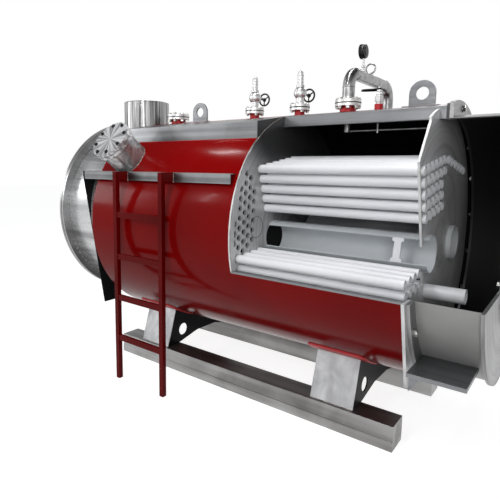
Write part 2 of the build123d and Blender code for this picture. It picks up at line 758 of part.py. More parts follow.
def valve_body(x):
    """A valve turned about its axis: waist, bulb, collar, bonnet and cap, with a side gland."""
    bottom = VALVE_FLANGE_BOTTOM + FLANGE_PAIR_HEIGHT
    band_bottom = VALVE_HEIGHT - VALVE_BULB_BAND / 2
    band_top = VALVE_HEIGHT + VALVE_BULB_BAND / 2
    collar_bottom = VALVE_HEIGHT + VALVE_COLLAR_RISE
    collar_top = collar_bottom + VALVE_COLLAR_HEIGHT
    bonnet_top = collar_top + VALVE_BONNET_HEIGHT
    cap_top = bonnet_top + VALVE_CAP_HEIGHT
    profile = outline(
        (0, bottom), (VALVE_WAIST_RADIUS, bottom), (VALVE_WAIST_RADIUS, band_bottom - VALVE_BULB_SHOULDER),
        (VALVE_BULB_RADIUS, band_bottom), (VALVE_BULB_RADIUS, band_top), (VALVE_BONNET_RADIUS, collar_bottom),
        (VALVE_COLLAR_RADIUS, collar_bottom), (VALVE_COLLAR_RADIUS, collar_top),
        (VALVE_BONNET_RADIUS, collar_top), (VALVE_BONNET_RADIUS, bonnet_top),
        (VALVE_CAP_RADIUS, cap_top), (0, cap_top))
    body = Pos(x, 0, 0) * revolve(Plane.XZ * profile, Axis.Z)
    body += along(Pos(x, VALVE_HEIGHT) * Circle(GLAND_RADIUS), 0, GLAND_REACH)
    bore = Pos(x, VALVE_HEIGHT) * Circle(STEM_RADIUS + STEM_CLEARANCE)
    return body - along(bore, GLAND_REACH - STEM_DEPTH, STEM_DEPTH + OVERRUN)


def handwheel(x):
    """A handwheel with its hub, spokes and the stem that turns in the gland."""
    centre = Pos(x, WHEEL_REACH, VALVE_HEIGHT)
    rim = centre * Rot(90, 0, 0) * wire_ring(WHEEL_RADIUS, WHEEL_RIM_RADIUS)
    hub_start = WHEEL_REACH - WHEEL_HUB_LENGTH / 2
    wheel = rim + along(Pos(x, VALVE_HEIGHT) * Circle(WHEEL_HUB_RADIUS), hub_start, WHEEL_HUB_LENGTH)
    spoke_length = WHEEL_RADIUS - WHEEL_RIM_RADIUS
    spoke = Pos(spoke_length / 2, 0, 0) * Box(spoke_length, SPOKE_THICKNESS, SPOKE_WIDTH)
    for number in range(WHEEL_SPOKES):
        wheel += centre * Rot(0, 360 * number / WHEEL_SPOKES + 90, 0) * spoke
    stem_start = GLAND_REACH - STEM_DEPTH + STEM_CLEARANCE
    stem = Pos(x, VALVE_HEIGHT) * Circle(STEM_RADIUS)
    return wheel + along(stem, stem_start, WHEEL_REACH - stem_start)


# Balance pipe, gauge and syphon

def pipe_drop_reach():
    """How far out the pipe comes down, clear of the shell where it returns."""
    return shell_height(PIPE_RETURN_HEIGHT - AXIS_HEIGHT) + PIPE_STANDOFF


def balance_pipe():
    """The bent pipe: up, over to the far side, down, and back into the shell."""
    start = STEAM_FLANGE_BOTTOM + FLANGE_PAIR_HEIGHT
    drop = pipe_drop_reach()
    inner = drop - PIPE_BEND - OVERRUN
    path = FilletPolyline(
        (STEAM_X, 0, start), (STEAM_X, 0, PIPE_RUN_HEIGHT), (STEAM_X, drop, PIPE_RUN_HEIGHT),
        (STEAM_X, drop, PIPE_RETURN_HEIGHT), (STEAM_X, inner, PIPE_RETURN_HEIGHT), radius=PIPE_BEND)
    outer = sweep(Plane(path ^ 0) * Circle(PIPE_RADIUS), path)
    bore = sweep(Plane(path ^ 0) * Circle(PIPE_RADIUS - PIPE_WALL), path)
    return outer - bore - shell_core()


def pressure_gauge():
    """A round gauge on a nut and stem, facing backward along the boiler."""
    seat = PIPE_RUN_HEIGHT + PIPE_RADIUS - PIPE_WALL / 2
    nut = RegularPolygon(GAUGE_NUT_WIDTH / 2, 6, major_radius=False)
    gauge = upright(Pos(STEAM_X, GAUGE_Y) * nut, seat, GAUGE_NUT_TOP - seat)
    case_bottom = GAUGE_HEIGHT - GAUGE_RADIUS
    stem = Pos(STEAM_X, GAUGE_Y) * Circle(GAUGE_STEM_RADIUS)
    gauge += upright(stem, GAUGE_NUT_TOP, case_bottom + GAUGE_STEM_RADIUS - GAUGE_NUT_TOP)
    back = STEAM_X - GAUGE_DEPTH / 2
    gauge += across(Pos(GAUGE_Y, GAUGE_HEIGHT) * Circle(GAUGE_RADIUS), back, GAUGE_DEPTH)
    dial = Pos(GAUGE_Y, GAUGE_HEIGHT) * Circle(GAUGE_RADIUS - GAUGE_BEZEL_WIDTH)
    gauge -= across(dial, back, GAUGE_BEZEL_DEPTH)
    return gauge - run_core()


def run_core():
    """The pipe run's solid round, for seating what stands on it."""
    return along(Pos(STEAM_X, PIPE_RUN_HEIGHT) * Circle(PIPE_RADIUS), 0, pipe_drop_reach() - PIPE_BEND)


def syphon_loop():
    """A round loop of small tube on a short leg."""
    centre = Pos(STEAM_X, SYPHON_Y, SYPHON_HEIGHT + SYPHON_RADIUS)
    loop = centre * Rot(90, 0, 0) * wire_ring(SYPHON_RADIUS + SYPHON_TUBE_RADIUS, SYPHON_TUBE_RADIUS)
    leg = Pos(STEAM_X, SYPHON_Y) * Circle(SYPHON_LEG_RADIUS)
    return loop + (upright(leg, PIPE_RUN_HEIGHT, SYPHON_HEIGHT - PIPE_RUN_HEIGHT) - run_core())


# Ball valve

def ball_valve():
    """The valve's body: a short pipe through a boss, with the stem's seat on one side."""
    pipe = Pos(BALL_X, 0) * Circle(BALL_BODY_RADIUS)
    body = upright(pipe, BALL_NECK_TOP, BALL_BODY_TOP - BALL_NECK_TOP)
    middle = (BALL_NECK_TOP + BALL_BODY_TOP) / 2
    boss = RegularPolygon(BALL_BOSS_RADIUS, 6)
    body += upright(Pos(BALL_X, 0) * boss, middle - BALL_BOSS_HEIGHT / 2, BALL_BOSS_HEIGHT)
    nut_bottom = LEVER_BOTTOM + LEVER_HUB_HEIGHT + LEVER_PLAY
    stem = upright(Pos(BALL_X, 0) * Circle(BALL_STEM_RADIUS), BALL_BODY_TOP, nut_bottom - BALL_BODY_TOP)
    collar = Pos(BALL_X, 0) * Circle(BALL_BODY_RADIUS)
    collar_bottom = LEVER_BOTTOM - LEVER_PLAY - BALL_COLLAR_HEIGHT
    nut = Pos(BALL_X, 0) * RegularPolygon(BALL_NUT_RADIUS, 6)
    body += upright(collar, collar_bottom, BALL_COLLAR_HEIGHT)
    return body + stem + upright(nut, nut_bottom, BALL_NUT_HEIGHT)


def valve_lever():
    """A flat lever with a hub, turning on top of the stem."""
    hub = upright(Pos(BALL_X, 0) * Circle(LEVER_HUB_RADIUS), LEVER_BOTTOM, LEVER_HUB_HEIGHT)
    blade = patch((BALL_X - LEVER_LENGTH, BALL_X), (-LEVER_WIDTH / 2, LEVER_WIDTH / 2))
    lever = hub + upright(blade, LEVER_BOTTOM, LEVER_THICKNESS)
    bore = Pos(BALL_X, 0) * Circle(BALL_STEM_RADIUS + LEVER_PLAY)
    return lever - upright(bore, LEVER_BOTTOM - OVERRUN, OVERRUN * 2)


# Pipes under the crown

def inner_steam_stub():
    section = Pos(STEAM_X, 0) * ring(INNER_STUB_RADIUS, INNER_STUB_WALL)
    pipe = upright(section, INNER_STUB_BOTTOM, INNER_STUB_DROP)
    return pipe & shell_core(SHELL_BORE)


def inner_probe():
    pipe = upright(Pos(BALL_X, 0) * Circle(INNER_PROBE_RADIUS), INNER_PROBE_BOTTOM, INNER_PROBE_DROP)
    return pipe & shell_core(SHELL_BORE)


def inner_rod():
    """A level rod from the steam stub to the front tube sheet."""
    place = Pos(0, INNER_STUB_BOTTOM + INNER_ROD_RADIUS)
    start = STEAM_X + INNER_STUB_RADIUS
    return across(place * Circle(INNER_ROD_RADIUS), start, FRONT_SHEET_START - start)


# Lifting lugs

def lug_pad_core():
    return shell_core(SHELL_RADIUS + LUG_PAD_THICKNESS)


def lug_plate(x):
    plate = Pos(x, LUG_HOLE_HEIGHT) * Circle(LUG_RADIUS)
    plate += patch((x - LUG_RADIUS, x + LUG_RADIUS), (CROWN, LUG_HOLE_HEIGHT))
    plate -= Pos(x, LUG_HOLE_HEIGHT) * Circle(LUG_HOLE_RADIUS)
    return along(plate, -LUG_THICKNESS / 2, LUG_THICKNESS) - lug_pad_core()


def lug_pad(x):
    """A curved pad on the shell under the lug."""
    half = LUG_PAD_LENGTH / 2
    foot = patch((x - half, x + half), (-LUG_PAD_WIDTH / 2, LUG_PAD_WIDTH / 2))
    pad = upright(foot, AXIS_HEIGHT, SHELL_RADIUS + LUG_PAD_THICKNESS) & lug_pad_core()
    return pad - shell_core()


def lifting_lug(x):
    return lug_pad(x) + lug_plate(x)


# Platform and ladder

def platform():
    """An angle along the opened side: a fascia, and a top sheet back to the shell."""
    length = PLATFORM_END - PLATFORM_START
    low = PLATFORM_TOP - PLATFORM_SHEET
    back = -PLATFORM_REACH + PLATFORM_SHEET
    fascia = patch((-PLATFORM_REACH, back), (PLATFORM_TOP - PLATFORM_FASCIA, PLATFORM_TOP))
    top = patch((-PLATFORM_REACH, -SMOKEBOX_RADIUS / 2), (low, PLATFORM_TOP))
    over_shell = top - on_axis(Circle(SHELL_RADIUS))
    over_smokebox = top - smokebox_axis(Circle(SMOKEBOX_RADIUS))
    sheet = across(over_shell, -REAR_LENGTH, PLATFORM_END + REAR_LENGTH)
    sheet += across(over_smokebox, PLATFORM_START, -REAR_LENGTH - PLATFORM_START)
    round_neck = Circle(MANHOLE_NECK_RADIUS + NECK_CLEARANCE)
    sheet -= manhole_disc(round_neck, SHELL_BORE - MANHOLE_NECK_RADIUS, MANHOLE_TOP)
    return sheet + across(fascia, PLATFORM_START, length)


def platform_end_plate():
    """A dark plate beside the smokebox, closing the platform's rear end."""
    radius = SMOKEBOX_RADIUS
    edge = [(y * radius, SMOKEBOX_HEIGHT + z * radius) for y, z in REAR_PLATE_EDGE_SHARES]
    outer, inner = edge[0][0], edge[-1][0]
    high = SMOKEBOX_HEIGHT + radius
    shape = outline((outer, high), *edge, (inner, high)) & patch((outer, inner), (0, PLATFORM_TOP))
    shape -= smokebox_axis(Circle(radius))
    return across(shape, PLATFORM_START - PLATE_THICKNESS, PLATE_THICKNESS)


def ladder_stile(x):
    """A stile with the short arm that joins its top to the platform."""
    front, back = -LADDER_REACH, -LADDER_REACH + STILE_DEPTH
    sides = (x - STILE_WIDTH / 2, x + STILE_WIDTH / 2)
    stile = upright(patch(sides, (front, back)), 0, PLATFORM_TOP)
    arm = patch(sides, (back, -PLATFORM_REACH))
    return stile + upright(arm, PLATFORM_TOP - STILE_DEPTH, STILE_DEPTH)


def ladder_rung(number):
    low = RUNG_TOP - number * RUNG_PITCH - RUNG_HEIGHT
    middle = -LADDER_REACH + STILE_DEPTH / 2
    sides = (STILE_XS[0] + STILE_WIDTH / 2, STILE_XS[1] - STILE_WIDTH / 2)
    return upright(patch(sides, (middle - RUNG_DEPTH / 2, middle + RUNG_DEPTH / 2)), low, RUNG_HEIGHT)


# Skids and saddles

def skid_section():
    outer = patch((-SKID_OUTER, -SKID_INNER), (0, SKID_HEIGHT))
    return outer + patch((-SKID_OUTER - SKID_LIP, -SKID_OUTER), (0, SKID_LIP_HEIGHT))


def skid():
    """A hollow beam with a plate closing each end."""
    sides = (-SKID_OUTER + SKID_WALL, -SKID_INNER - SKID_WALL)
    bore = patch(sides, (SKID_WALL, SKID_HEIGHT - SKID_WALL))
    start = SKID_START + SKID_WALL
    beam = across(skid_section() - bore, start, SKID_END - SKID_WALL - start)
    ends = [across(skid_section(), x, SKID_WALL) for x in (SKID_START, SKID_END - SKID_WALL)]
    return [beam] + ends


def pad_core():
    return Circle(SHELL_RADIUS + PAD_THICKNESS)


def saddle_plate(start, end):
    """The sloping plate between a skid and the shell's pad."""
    foot_inner = -SADDLE_FOOT_REACH + SADDLE_PLATE
    head_inner = -SADDLE_HEAD_REACH + SADDLE_PLATE
    foot = SKID_HEIGHT
    head = AXIS_HEIGHT - shell_height(SADDLE_HEAD_REACH)
    shape = outline(
        (-SADDLE_FOOT_REACH, foot), (foot_inner, foot), (head_inner, head), (-SADDLE_HEAD_REACH, head))
    return across(shape - on_axis(pad_core()), start, end - start)


def saddle_web(x):
    """A web from one skid to the other, arched below, with a lightening hole at each side."""
    foot = -SADDLE_FOOT_REACH + SADDLE_PLATE
    head = -SADDLE_HEAD_REACH + SADDLE_PLATE
    shoulder = AXIS_HEIGHT - shell_height(SADDLE_HEAD_REACH)
    arch_top = SKID_HEIGHT + WEB_ARCH_RISE
    shape = outline(
        (foot, SKID_HEIGHT), (-WEB_FOOT_INNER, SKID_HEIGHT), (-WEB_ARCH_REACH, arch_top),
        (WEB_ARCH_REACH, arch_top), (WEB_FOOT_INNER, SKID_HEIGHT), (-foot, SKID_HEIGHT),
        (-head, shoulder), (-head, AXIS_HEIGHT), (head, AXIS_HEIGHT), (head, shoulder))
    shape -= on_axis(pad_core())
    for side in (-1, 1):
        shape -= Pos(side * WEB_HOLE_REACH, SKID_HEIGHT + WEB_HOLE_RISE) * Circle(WEB_HOLE_RADIUS)
    return across(shape, x, WEB_THICKNESS)


def saddle_pad(start, end):
    """A curved pad with rounded corners, wrapped under the shell."""
    foot = RectangleRounded(end - start + PAD_MARGIN * 2, PAD_REACH * 2, PAD_CORNER)
    block = upright(Pos((start + end) / 2, 0) * foot, 0, AXIS_HEIGHT)
    return (block & shell_core(SHELL_RADIUS + PAD_THICKNESS)) - shell_core()


# Assembly

def make_parts():
    """Every node by name: one solid, or a list of solids."""
    parts = {
        "shell": shell(),
        "shell_end_plate": shell_end_plate(),
        "cut_frame_ring": cut_frame_ring(),
        "cut_frame_top_bar": cut_frame_top_bar(),
        "cut_frame_sill": cut_frame_sill(),
        "tube_sheet_rear": tube_sheet_rear(),
        "tube_sheet_front": tube_sheet_front(),
        "tubes_upper": tubes(upper_tube_places() + far_tube_places()),
        "tubes_lower": tubes(lower_tube_places()),
        "flue_near": flue(-1, True),
        "flue_far": flue(1, False),
        "flue_stay": flue_stay(),
        "stub_pipe": stub_pipe(),
        "front_plate": front_plate(),
        "drum_flange": drum_flange(),
        "drum": drum(),
        "front_cover": front_cover(),
        "burner_flange": burner_flange(),
        "front_shelf": [front_shelf()] + shelf_gussets(),
        "walk_fascia_near": walk_fascia(-REAR_LENGTH, REAR_LENGTH),
        "walk_cover_near": walk_cover(-REAR_LENGTH, REAR_LENGTH),
        "walk_fascia_far": mirror(walk_fascia(-REAR_LENGTH, REAR_LENGTH + OPEN_LENGTH), Plane.XZ),
        "walk_cover_far": mirror(walk_cover(-REAR_LENGTH, REAR_LENGTH + OPEN_LENGTH), Plane.XZ),
        "walk_end_plate": walk_end_plate(),
        "smokebox_shell": smokebox_shell(),
        "smokebox_flange": [smokebox_flange(), smokebox_gasket()],
        "smokebox_cover": smokebox_cover(),
        "flue_stack": flue_stack(),
        "manhole_neck": manhole_neck(),
        "manhole_flange": manhole_flange(),
        "manhole_cover": manhole_cover(),
        "blind_neck": neck(BLIND_X, BLIND_NECK_RADIUS, BLIND_BORE_RADIUS, BLIND_FLANGE_BOTTOM),
        "balance_pipe": balance_pipe(),
        "pressure_gauge": pressure_gauge(),
        "syphon_loop": syphon_loop(),
        "ball_valve_neck": neck(BALL_X, BALL_NECK_RADIUS, BALL_BORE_RADIUS, BALL_NECK_TOP),
        "ball_valve": ball_valve(),
        "valve_lever": valve_lever(),
        "inner_pipes": [inner_steam_stub(), inner_probe(), inner_rod()],
        "platform": platform(),
        "platform_end_plate": platform_end_plate(),
        "ladder_rungs": [ladder_rung(number) for number in range(RUNGS)],
    }
    parts["blind_flanges"] = list(
        flange_pair(BLIND_X, BLIND_FLANGE_RADIUS, BLIND_BORE_RADIUS, BLIND_FLANGE_BOTTOM, True))
    parts["steam_nozzle"] = neck(STEAM_X, STEAM_NECK_RADIUS, STEAM_BORE_RADIUS, STEAM_FLANGE_BOTTOM)
    parts["steam_flanges"] = list(
        flange_pair(STEAM_X, STEAM_FLANGE_RADIUS, STEAM_BORE_RADIUS, STEAM_FLANGE_BOTTOM, False))
    parts["skid_near"] = skid()
    parts["skid_far"] = [mirror(solid, Plane.XZ) for solid in skid()]
    for name, x in zip(("rear", "front"), VALVE_XS):
        lower, upper = flange_pair(x, VALVE_FLANGE_RADIUS, VALVE_BORE_RADIUS, VALVE_FLANGE_BOTTOM, False)
        parts[f"valve_nozzle_{name}"] = neck(x, VALVE_NECK_RADIUS, VALVE_BORE_RADIUS, VALVE_FLANGE_BOTTOM)
        parts[f"valve_{name}"] = [lower, upper, valve_body(x)]
        parts[f"handwheel_{name}"] = handwheel(x)
    parts["lifting_lugs"] = [lifting_lug(x) for x in LUG_XS]
    for name, x in zip(("rear", "front"), STILE_XS):
        parts[f"ladder_stile_{name}"] = ladder_stile(x)
    parts["saddle_plates"] = []
    parts["saddle_webs"] = []
    for name, (start, end) in SADDLES.items():
        parts["saddle_plates"] += both_sides(saddle_plate(start, end))
        for x in (start, end - WEB_THICKNESS):
            parts["saddle_webs"].append(saddle_web(x))
        parts[f"saddle_pad_{name}"] = saddle_pad(start, end)
    return parts


def solids_of(item):
    """The solids of a node that is one shape or a list of shapes."""
    shapes = item if isinstance(item, list) else [item]
    return [solid for shape in shapes for solid in shape.solids()]


def export_parts(parts):
    """Write each node, moved so that the origin is under the middle of the whole model's box."""
    nodes = {name: Compound(solids_of(item)) for name, item in parts.items()}
    boxes = [node.bounding_box() for node in nodes.values()]
    middle_x = (min(box.min.X for box in boxes) + max(box.max.X for box in boxes)) / 2
    middle_y = (min(box.min.Y for box in boxes) + max(box.max.Y for box in boxes)) / 2
    floor = min(box.min.Z for box in boxes)
    print("shift", -middle_x, -middle_y, -floor)
    os.makedirs("parts", exist_ok=True)
    for name, node in nodes.items():
        export_step(Pos(-middle_x, -middle_y, -floor) * node, f"parts/{name}.step")


export_parts(make_parts())
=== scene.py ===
import json
import logging
import math
from dataclasses import dataclass, field
from enum import Enum
from typing import Optional, Sequence, Union

import bmesh
import bpy
from mathutils import Matrix, Vector

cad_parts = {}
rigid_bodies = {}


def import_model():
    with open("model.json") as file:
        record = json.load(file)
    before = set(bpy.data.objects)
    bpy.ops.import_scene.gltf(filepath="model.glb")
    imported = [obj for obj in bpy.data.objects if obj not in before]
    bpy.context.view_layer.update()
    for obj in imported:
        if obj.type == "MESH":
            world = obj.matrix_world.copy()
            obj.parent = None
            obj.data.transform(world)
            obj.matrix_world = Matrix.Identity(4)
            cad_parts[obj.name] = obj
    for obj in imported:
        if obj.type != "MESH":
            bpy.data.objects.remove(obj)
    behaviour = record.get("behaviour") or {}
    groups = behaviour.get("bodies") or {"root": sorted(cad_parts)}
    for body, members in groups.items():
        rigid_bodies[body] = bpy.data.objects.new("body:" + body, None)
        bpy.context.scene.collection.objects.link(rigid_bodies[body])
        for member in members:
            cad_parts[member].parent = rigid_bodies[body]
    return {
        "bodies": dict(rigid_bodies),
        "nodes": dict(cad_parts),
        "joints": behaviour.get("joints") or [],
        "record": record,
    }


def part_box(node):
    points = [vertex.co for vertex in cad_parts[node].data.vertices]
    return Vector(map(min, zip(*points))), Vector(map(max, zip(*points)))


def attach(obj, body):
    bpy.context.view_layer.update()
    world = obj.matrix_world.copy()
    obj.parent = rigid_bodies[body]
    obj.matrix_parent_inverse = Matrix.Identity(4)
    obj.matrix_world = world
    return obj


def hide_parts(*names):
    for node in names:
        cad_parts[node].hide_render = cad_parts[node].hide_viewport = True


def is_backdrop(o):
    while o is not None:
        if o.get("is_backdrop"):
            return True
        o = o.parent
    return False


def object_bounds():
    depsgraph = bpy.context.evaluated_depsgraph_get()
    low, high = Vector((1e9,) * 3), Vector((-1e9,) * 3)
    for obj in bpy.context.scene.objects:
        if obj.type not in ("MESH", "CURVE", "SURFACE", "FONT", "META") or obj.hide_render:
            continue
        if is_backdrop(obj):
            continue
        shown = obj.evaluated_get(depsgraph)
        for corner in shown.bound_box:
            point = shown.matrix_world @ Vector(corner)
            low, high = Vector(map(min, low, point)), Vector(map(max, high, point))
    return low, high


# A fire-tube boiler, cut open along one side. The frame holds its solids at
# their real size, in metres, and this script gives every surface its finish
# and adds what is too small for the solids: fasteners, weld beads and fittings.

LOG = logging.getLogger("boiler")
MM = 0.001
FORWARD, FAR, UP = Vector((1, 0, 0)), Vector((0, 1, 0)), Vector((0, 0, 1))
MERGE_DISTANCE = 0.00001
SHARP_ANGLE = 32.0
Colour = tuple[float, float, float]
Points = Sequence[tuple[float, float]]
Profile = list[tuple[float, float]]


# Node trees

class Wire:
    """An output socket that takes part in sums written as Python expressions."""

    def __init__(self, tree: "Tree", socket: bpy.types.NodeSocket) -> None:
        """Hold a socket and the tree that it belongs to."""
        self.tree = tree
        self.socket = socket

    def __add__(self, other: "Amount") -> "Wire":
        """Return this value plus another."""
        return self.tree.maths("ADD", self, other)

    def __radd__(self, other: float) -> "Wire":
        """Return a number plus this value."""
        return self.tree.maths("ADD", other, self)

    def __sub__(self, other: "Amount") -> "Wire":
        """Return this value less another."""
        return self.tree.maths("SUBTRACT", self, other)

    def __mul__(self, other: "Amount") -> "Wire":
        """Return this value times another."""
        return self.tree.maths("MULTIPLY", self, other)

    def above(self, limit: float) -> "Wire":
        """Return one where this value is over a limit, and zero elsewhere."""
        return self.tree.maths("GREATER_THAN", self, limit)

    def between(self, low: float, high: float) -> "Wire":
        """Stretch the part of this value between two limits to run from zero to one.

        Args:
            low: The value that becomes zero.
            high: The value that becomes one.

        Returns:
            The stretched value, held between zero and one.
        """
        sockets = {"Value": self, "From Min": low, "From Max": high}
        return self.tree.out("ShaderNodeMapRange", sockets, "Result", interpolation_type="SMOOTHSTEP")


Amount = Union[Wire, float]
Sockets = dict[Union[int, str], object]


class Tree:
    """A node tree, written as expressions."""

    def __init__(self, tree: bpy.types.NodeTree) -> None:
        """Start from an empty tree."""
        self.tree = tree
        self.tree.nodes.clear()

    def node(self, kind: str, sockets: Sockets, **settings: object) -> bpy.types.Node:
        """Add one node, with its settings first and its inputs after.

        Args:
            kind: The node's type.
            sockets: A value or a wire for each input, by name or number.
            settings: The node's properties.

        Returns:
            The new node.
        """
        node = self.tree.nodes.new(kind)
        for name, value in settings.items():
            setattr(node, name, value)
        for key, value in sockets.items():
            if isinstance(value, Wire):
                self.tree.links.new(value.socket, node.inputs[key])
            else:
                node.inputs[key].default_value = value
        return node

    def out(self, kind: str, sockets: Sockets, output: Union[int, str] = 0, **settings: object) -> Wire:
        """Add one node and return one of its outputs."""
        return Wire(self, self.node(kind, sockets, **settings).outputs[output])

    def maths(self, operation: str, *values: Amount) -> Wire:
        """Return the result of one Math node."""
        return self.out("ShaderNodeMath", dict(enumerate(values)), operation=operation)

    def join(self, x: Amount = 0.0, y: Amount = 0.0, z: Amount = 0.0) -> Wire:
        """Return a vector made of three values."""
        return self.out("ShaderNodeCombineXYZ", {0: x, 1: y, 2: z})


# Shaders

@dataclass(frozen=True)
class Pattern:
    """A noise, and the part of it that is stretched to run from zero to one."""

    scale: float
    detail: float = 3.0
    swirl: float = 0.0
    low: float = 0.0
    high: float = 1.0


class Shader(Tree):
    """A material's node tree."""

    def __init__(self, name: str) -> None:
        """Start an empty material."""
        self.material = bpy.data.materials.new(name)
        self.material.use_nodes = True
        super().__init__(self.material.node_tree)

    def place(self) -> Wire:
        """Return the place on the object, in metres."""
        return self.out("ShaderNodeTexCoord", {}, "Object")

    def local(self, place: Wire, origin: Vector, axis: Vector) -> Wire:
        """Turn a place into the frame of a fitting.

        Args:
            place: The place on the object.
            origin: The fitting's middle.
            axis: The direction that becomes Z.

        Returns:
            The place as seen from the fitting.
        """
        sockets = {"Vector": place, "Location": origin, "Rotation": aim(origin, axis).to_euler()}
        return self.out("ShaderNodeMapping", sockets, vector_type="TEXTURE")

    def split(self, vector: Wire) -> list[Wire]:
        """Return a vector's three parts."""
        return [Wire(self, part) for part in self.node("ShaderNodeSeparateXYZ", {0: vector}).outputs]

    def stretch(self, vector: Wire, factors: tuple[float, float, float]) -> Wire:
        """Return a vector with each part multiplied."""
        return self.out("ShaderNodeVectorMath", {0: vector, 1: factors}, operation="MULTIPLY")

    def noise(self, vector: Wire, pattern: Pattern) -> Wire:
        """Return a pattern's noise at a place, from zero to one."""
        return self.out("ShaderNodeTexNoise", {
            "Vector": vector, "Scale": pattern.scale, "Detail": pattern.detail, "Distortion": pattern.swirl})

    def patches(self, vector: Wire, pattern: Pattern) -> Wire:
        """Return a pattern's noise at a place, stretched between its limits."""
        return self.noise(vector, pattern).between(pattern.low, pattern.high)

    def blend(self, factor: Amount, first: object, second: object) -> Wire:
        """Mix two colours.

        Args:
            factor: Zero for the first colour, one for the second.
            first: A colour or a wire.
            second: A colour or a wire.

        Returns:
            The mixed colour.
        """
        colours = [value if isinstance(value, Wire) else (*value, 1.0) for value in (first, second)]
        return self.out("ShaderNodeMix", {0: factor, 6: colours[0], 7: colours[1]}, 2, data_type="RGBA")

    def bump(self, height: Wire, depth: float) -> Wire:
        """Return a normal raised by a height map of a given depth in metres."""
        return self.out("ShaderNodeBump", {"Height": height, "Distance": depth})

    def from_axis(self, place: Wire, centre_y: float, centre_z: float) -> Wire:
        """Return how far a place lies from a level axis that runs forward.

        Args:
            place: The place on the object.
            centre_y: The axis's place across.
            centre_z: The axis's height.

        Returns:
            The distance in metres.
        """
        _, y, z = self.split(place)
        across, above = y - centre_y, z - centre_z
        return self.maths("SQRT", across * across + above * above)

    def seen(self) -> Wire:
        """Return one for what the camera, a reflection or a pane of glass shows, and zero for light."""
        path = self.node("ShaderNodeLightPath", {})
        camera, glossy, pane = (
            Wire(self, path.outputs[f"Is {kind} Ray"]) for kind in ("Camera", "Glossy", "Transmission"))
        return self.maths("MAXIMUM", self.maths("MAXIMUM", camera, glossy), pane)

    def surface(self, sockets: Sockets) -> None:
        """End the tree in a Principled surface with the given inputs."""
        shader = self.out("ShaderNodeBsdfPrincipled", sockets)
        self.node("ShaderNodeOutputMaterial", {"Surface": shader})


class Sky(Shader):
    """The world's node tree."""

    def __init__(self, name: str) -> None:
        """Start an empty world."""
        self.world = bpy.data.worlds.new(name)
        self.world.use_nodes = True
        Tree.__init__(self, self.world.node_tree)

    def height(self) -> Wire:
        """Return how steeply a ray looks up."""
        return self.split(self.out("ShaderNodeTexCoord", {}, "Generated"))[2]

    def light(self, colour: Wire) -> None:
        """End the tree in a light of the given colour."""
        self.node("ShaderNodeOutputWorld", {"Surface": self.out("ShaderNodeBackground", {"Color": colour})})


class Grain(Enum):
    """The way that a metal's brush marks run."""

    FORWARD = "along the boiler"
    UPRIGHT = "up and down"
    ROUND = "round the boiler's axis"


@dataclass(frozen=True)
class Finish:
    """A surface finish, made into a material the first time that it is asked for."""

    name: str
    slot: str
    tint: Colour
    shade: Colour

    def material(self) -> bpy.types.Material:
        """Return the finish's material."""
        found = bpy.data.materials.get(self.name)
        if found is not None:
            return found
        shader = Shader(self.name)
        shader.surface(self.sockets(shader, shader.place()))
        return shader.material

    def sockets(self, shader: Shader, place: Wire) -> Sockets:
        """Return the surface's inputs.

        Args:
            shader: The shader to write in.
            place: The place on the object.

        Returns:
            A value or a wire for each input.
        """
        raise NotImplementedError


@dataclass(frozen=True)
class Paint(Finish):
    """Sprayed gloss or satin paint, with a fine orange peel and faint clouds."""

    roughness: float = 0.17
    coat: float = 0.04
    specular: float = 0.07
    peel: float = 0.00005
    dust: float = 0.08
    index: float = 1.42
    coat_index: float = 1.4
    coat_roughness: float = 0.06
    grains: Pattern = Pattern(55.0, 2.0)
    clouds: Pattern = Pattern(1.7, 4.0, low=0.3, high=0.75)
    smears: Pattern = Pattern(6.0, 5.0, 0.8, 0.45, 0.8)

    def sockets(self, shader: Shader, place: Wire) -> Sockets:
        """Return the paint's inputs."""
        return {
            "Base Color": shader.blend(shader.patches(place, self.clouds), self.tint, self.shade),
            "Roughness": self.roughness + shader.patches(place, self.smears) * self.dust,
            "IOR": self.index,
            "Specular IOR Level": self.specular,
            "Coat Weight": self.coat,
            "Coat Roughness": self.coat_roughness,
            "Coat IOR": self.coat_index,
            "Normal": shader.bump(shader.noise(place, self.grains), self.peel),
        }


@dataclass(frozen=True)
class InsideShadedPaint(Paint):
    """Gloss paint outside a round shell, and near-black painted shade inside it, for its dark interior."""

    centre_y: float = 0.0
    centre_z: float = 0.0
    skin_radius: float = 1.0
    # Painted shade: the near-black colour given to the inside, where it lies in shadow.
    painted_inner_shade: Colour = (0.006, 0.006, 0.007)
    inner_roughness: float = 0.55

    def sockets(self, shader: Shader, place: Wire) -> Sockets:
        """Return the paint's inputs, with the painted inner shade inside the shell."""
        outside = shader.from_axis(place, self.centre_y, self.centre_z).above(self.skin_radius)
        paint, dull = super().sockets(shader, place), self.inner_roughness
        return paint | {
            "Base Color": shader.blend(outside, self.painted_inner_shade, paint["Base Color"]),
            "Roughness": dull + outside * (paint["Roughness"] - dull),
            "Coat Weight": outside * self.coat,
        }


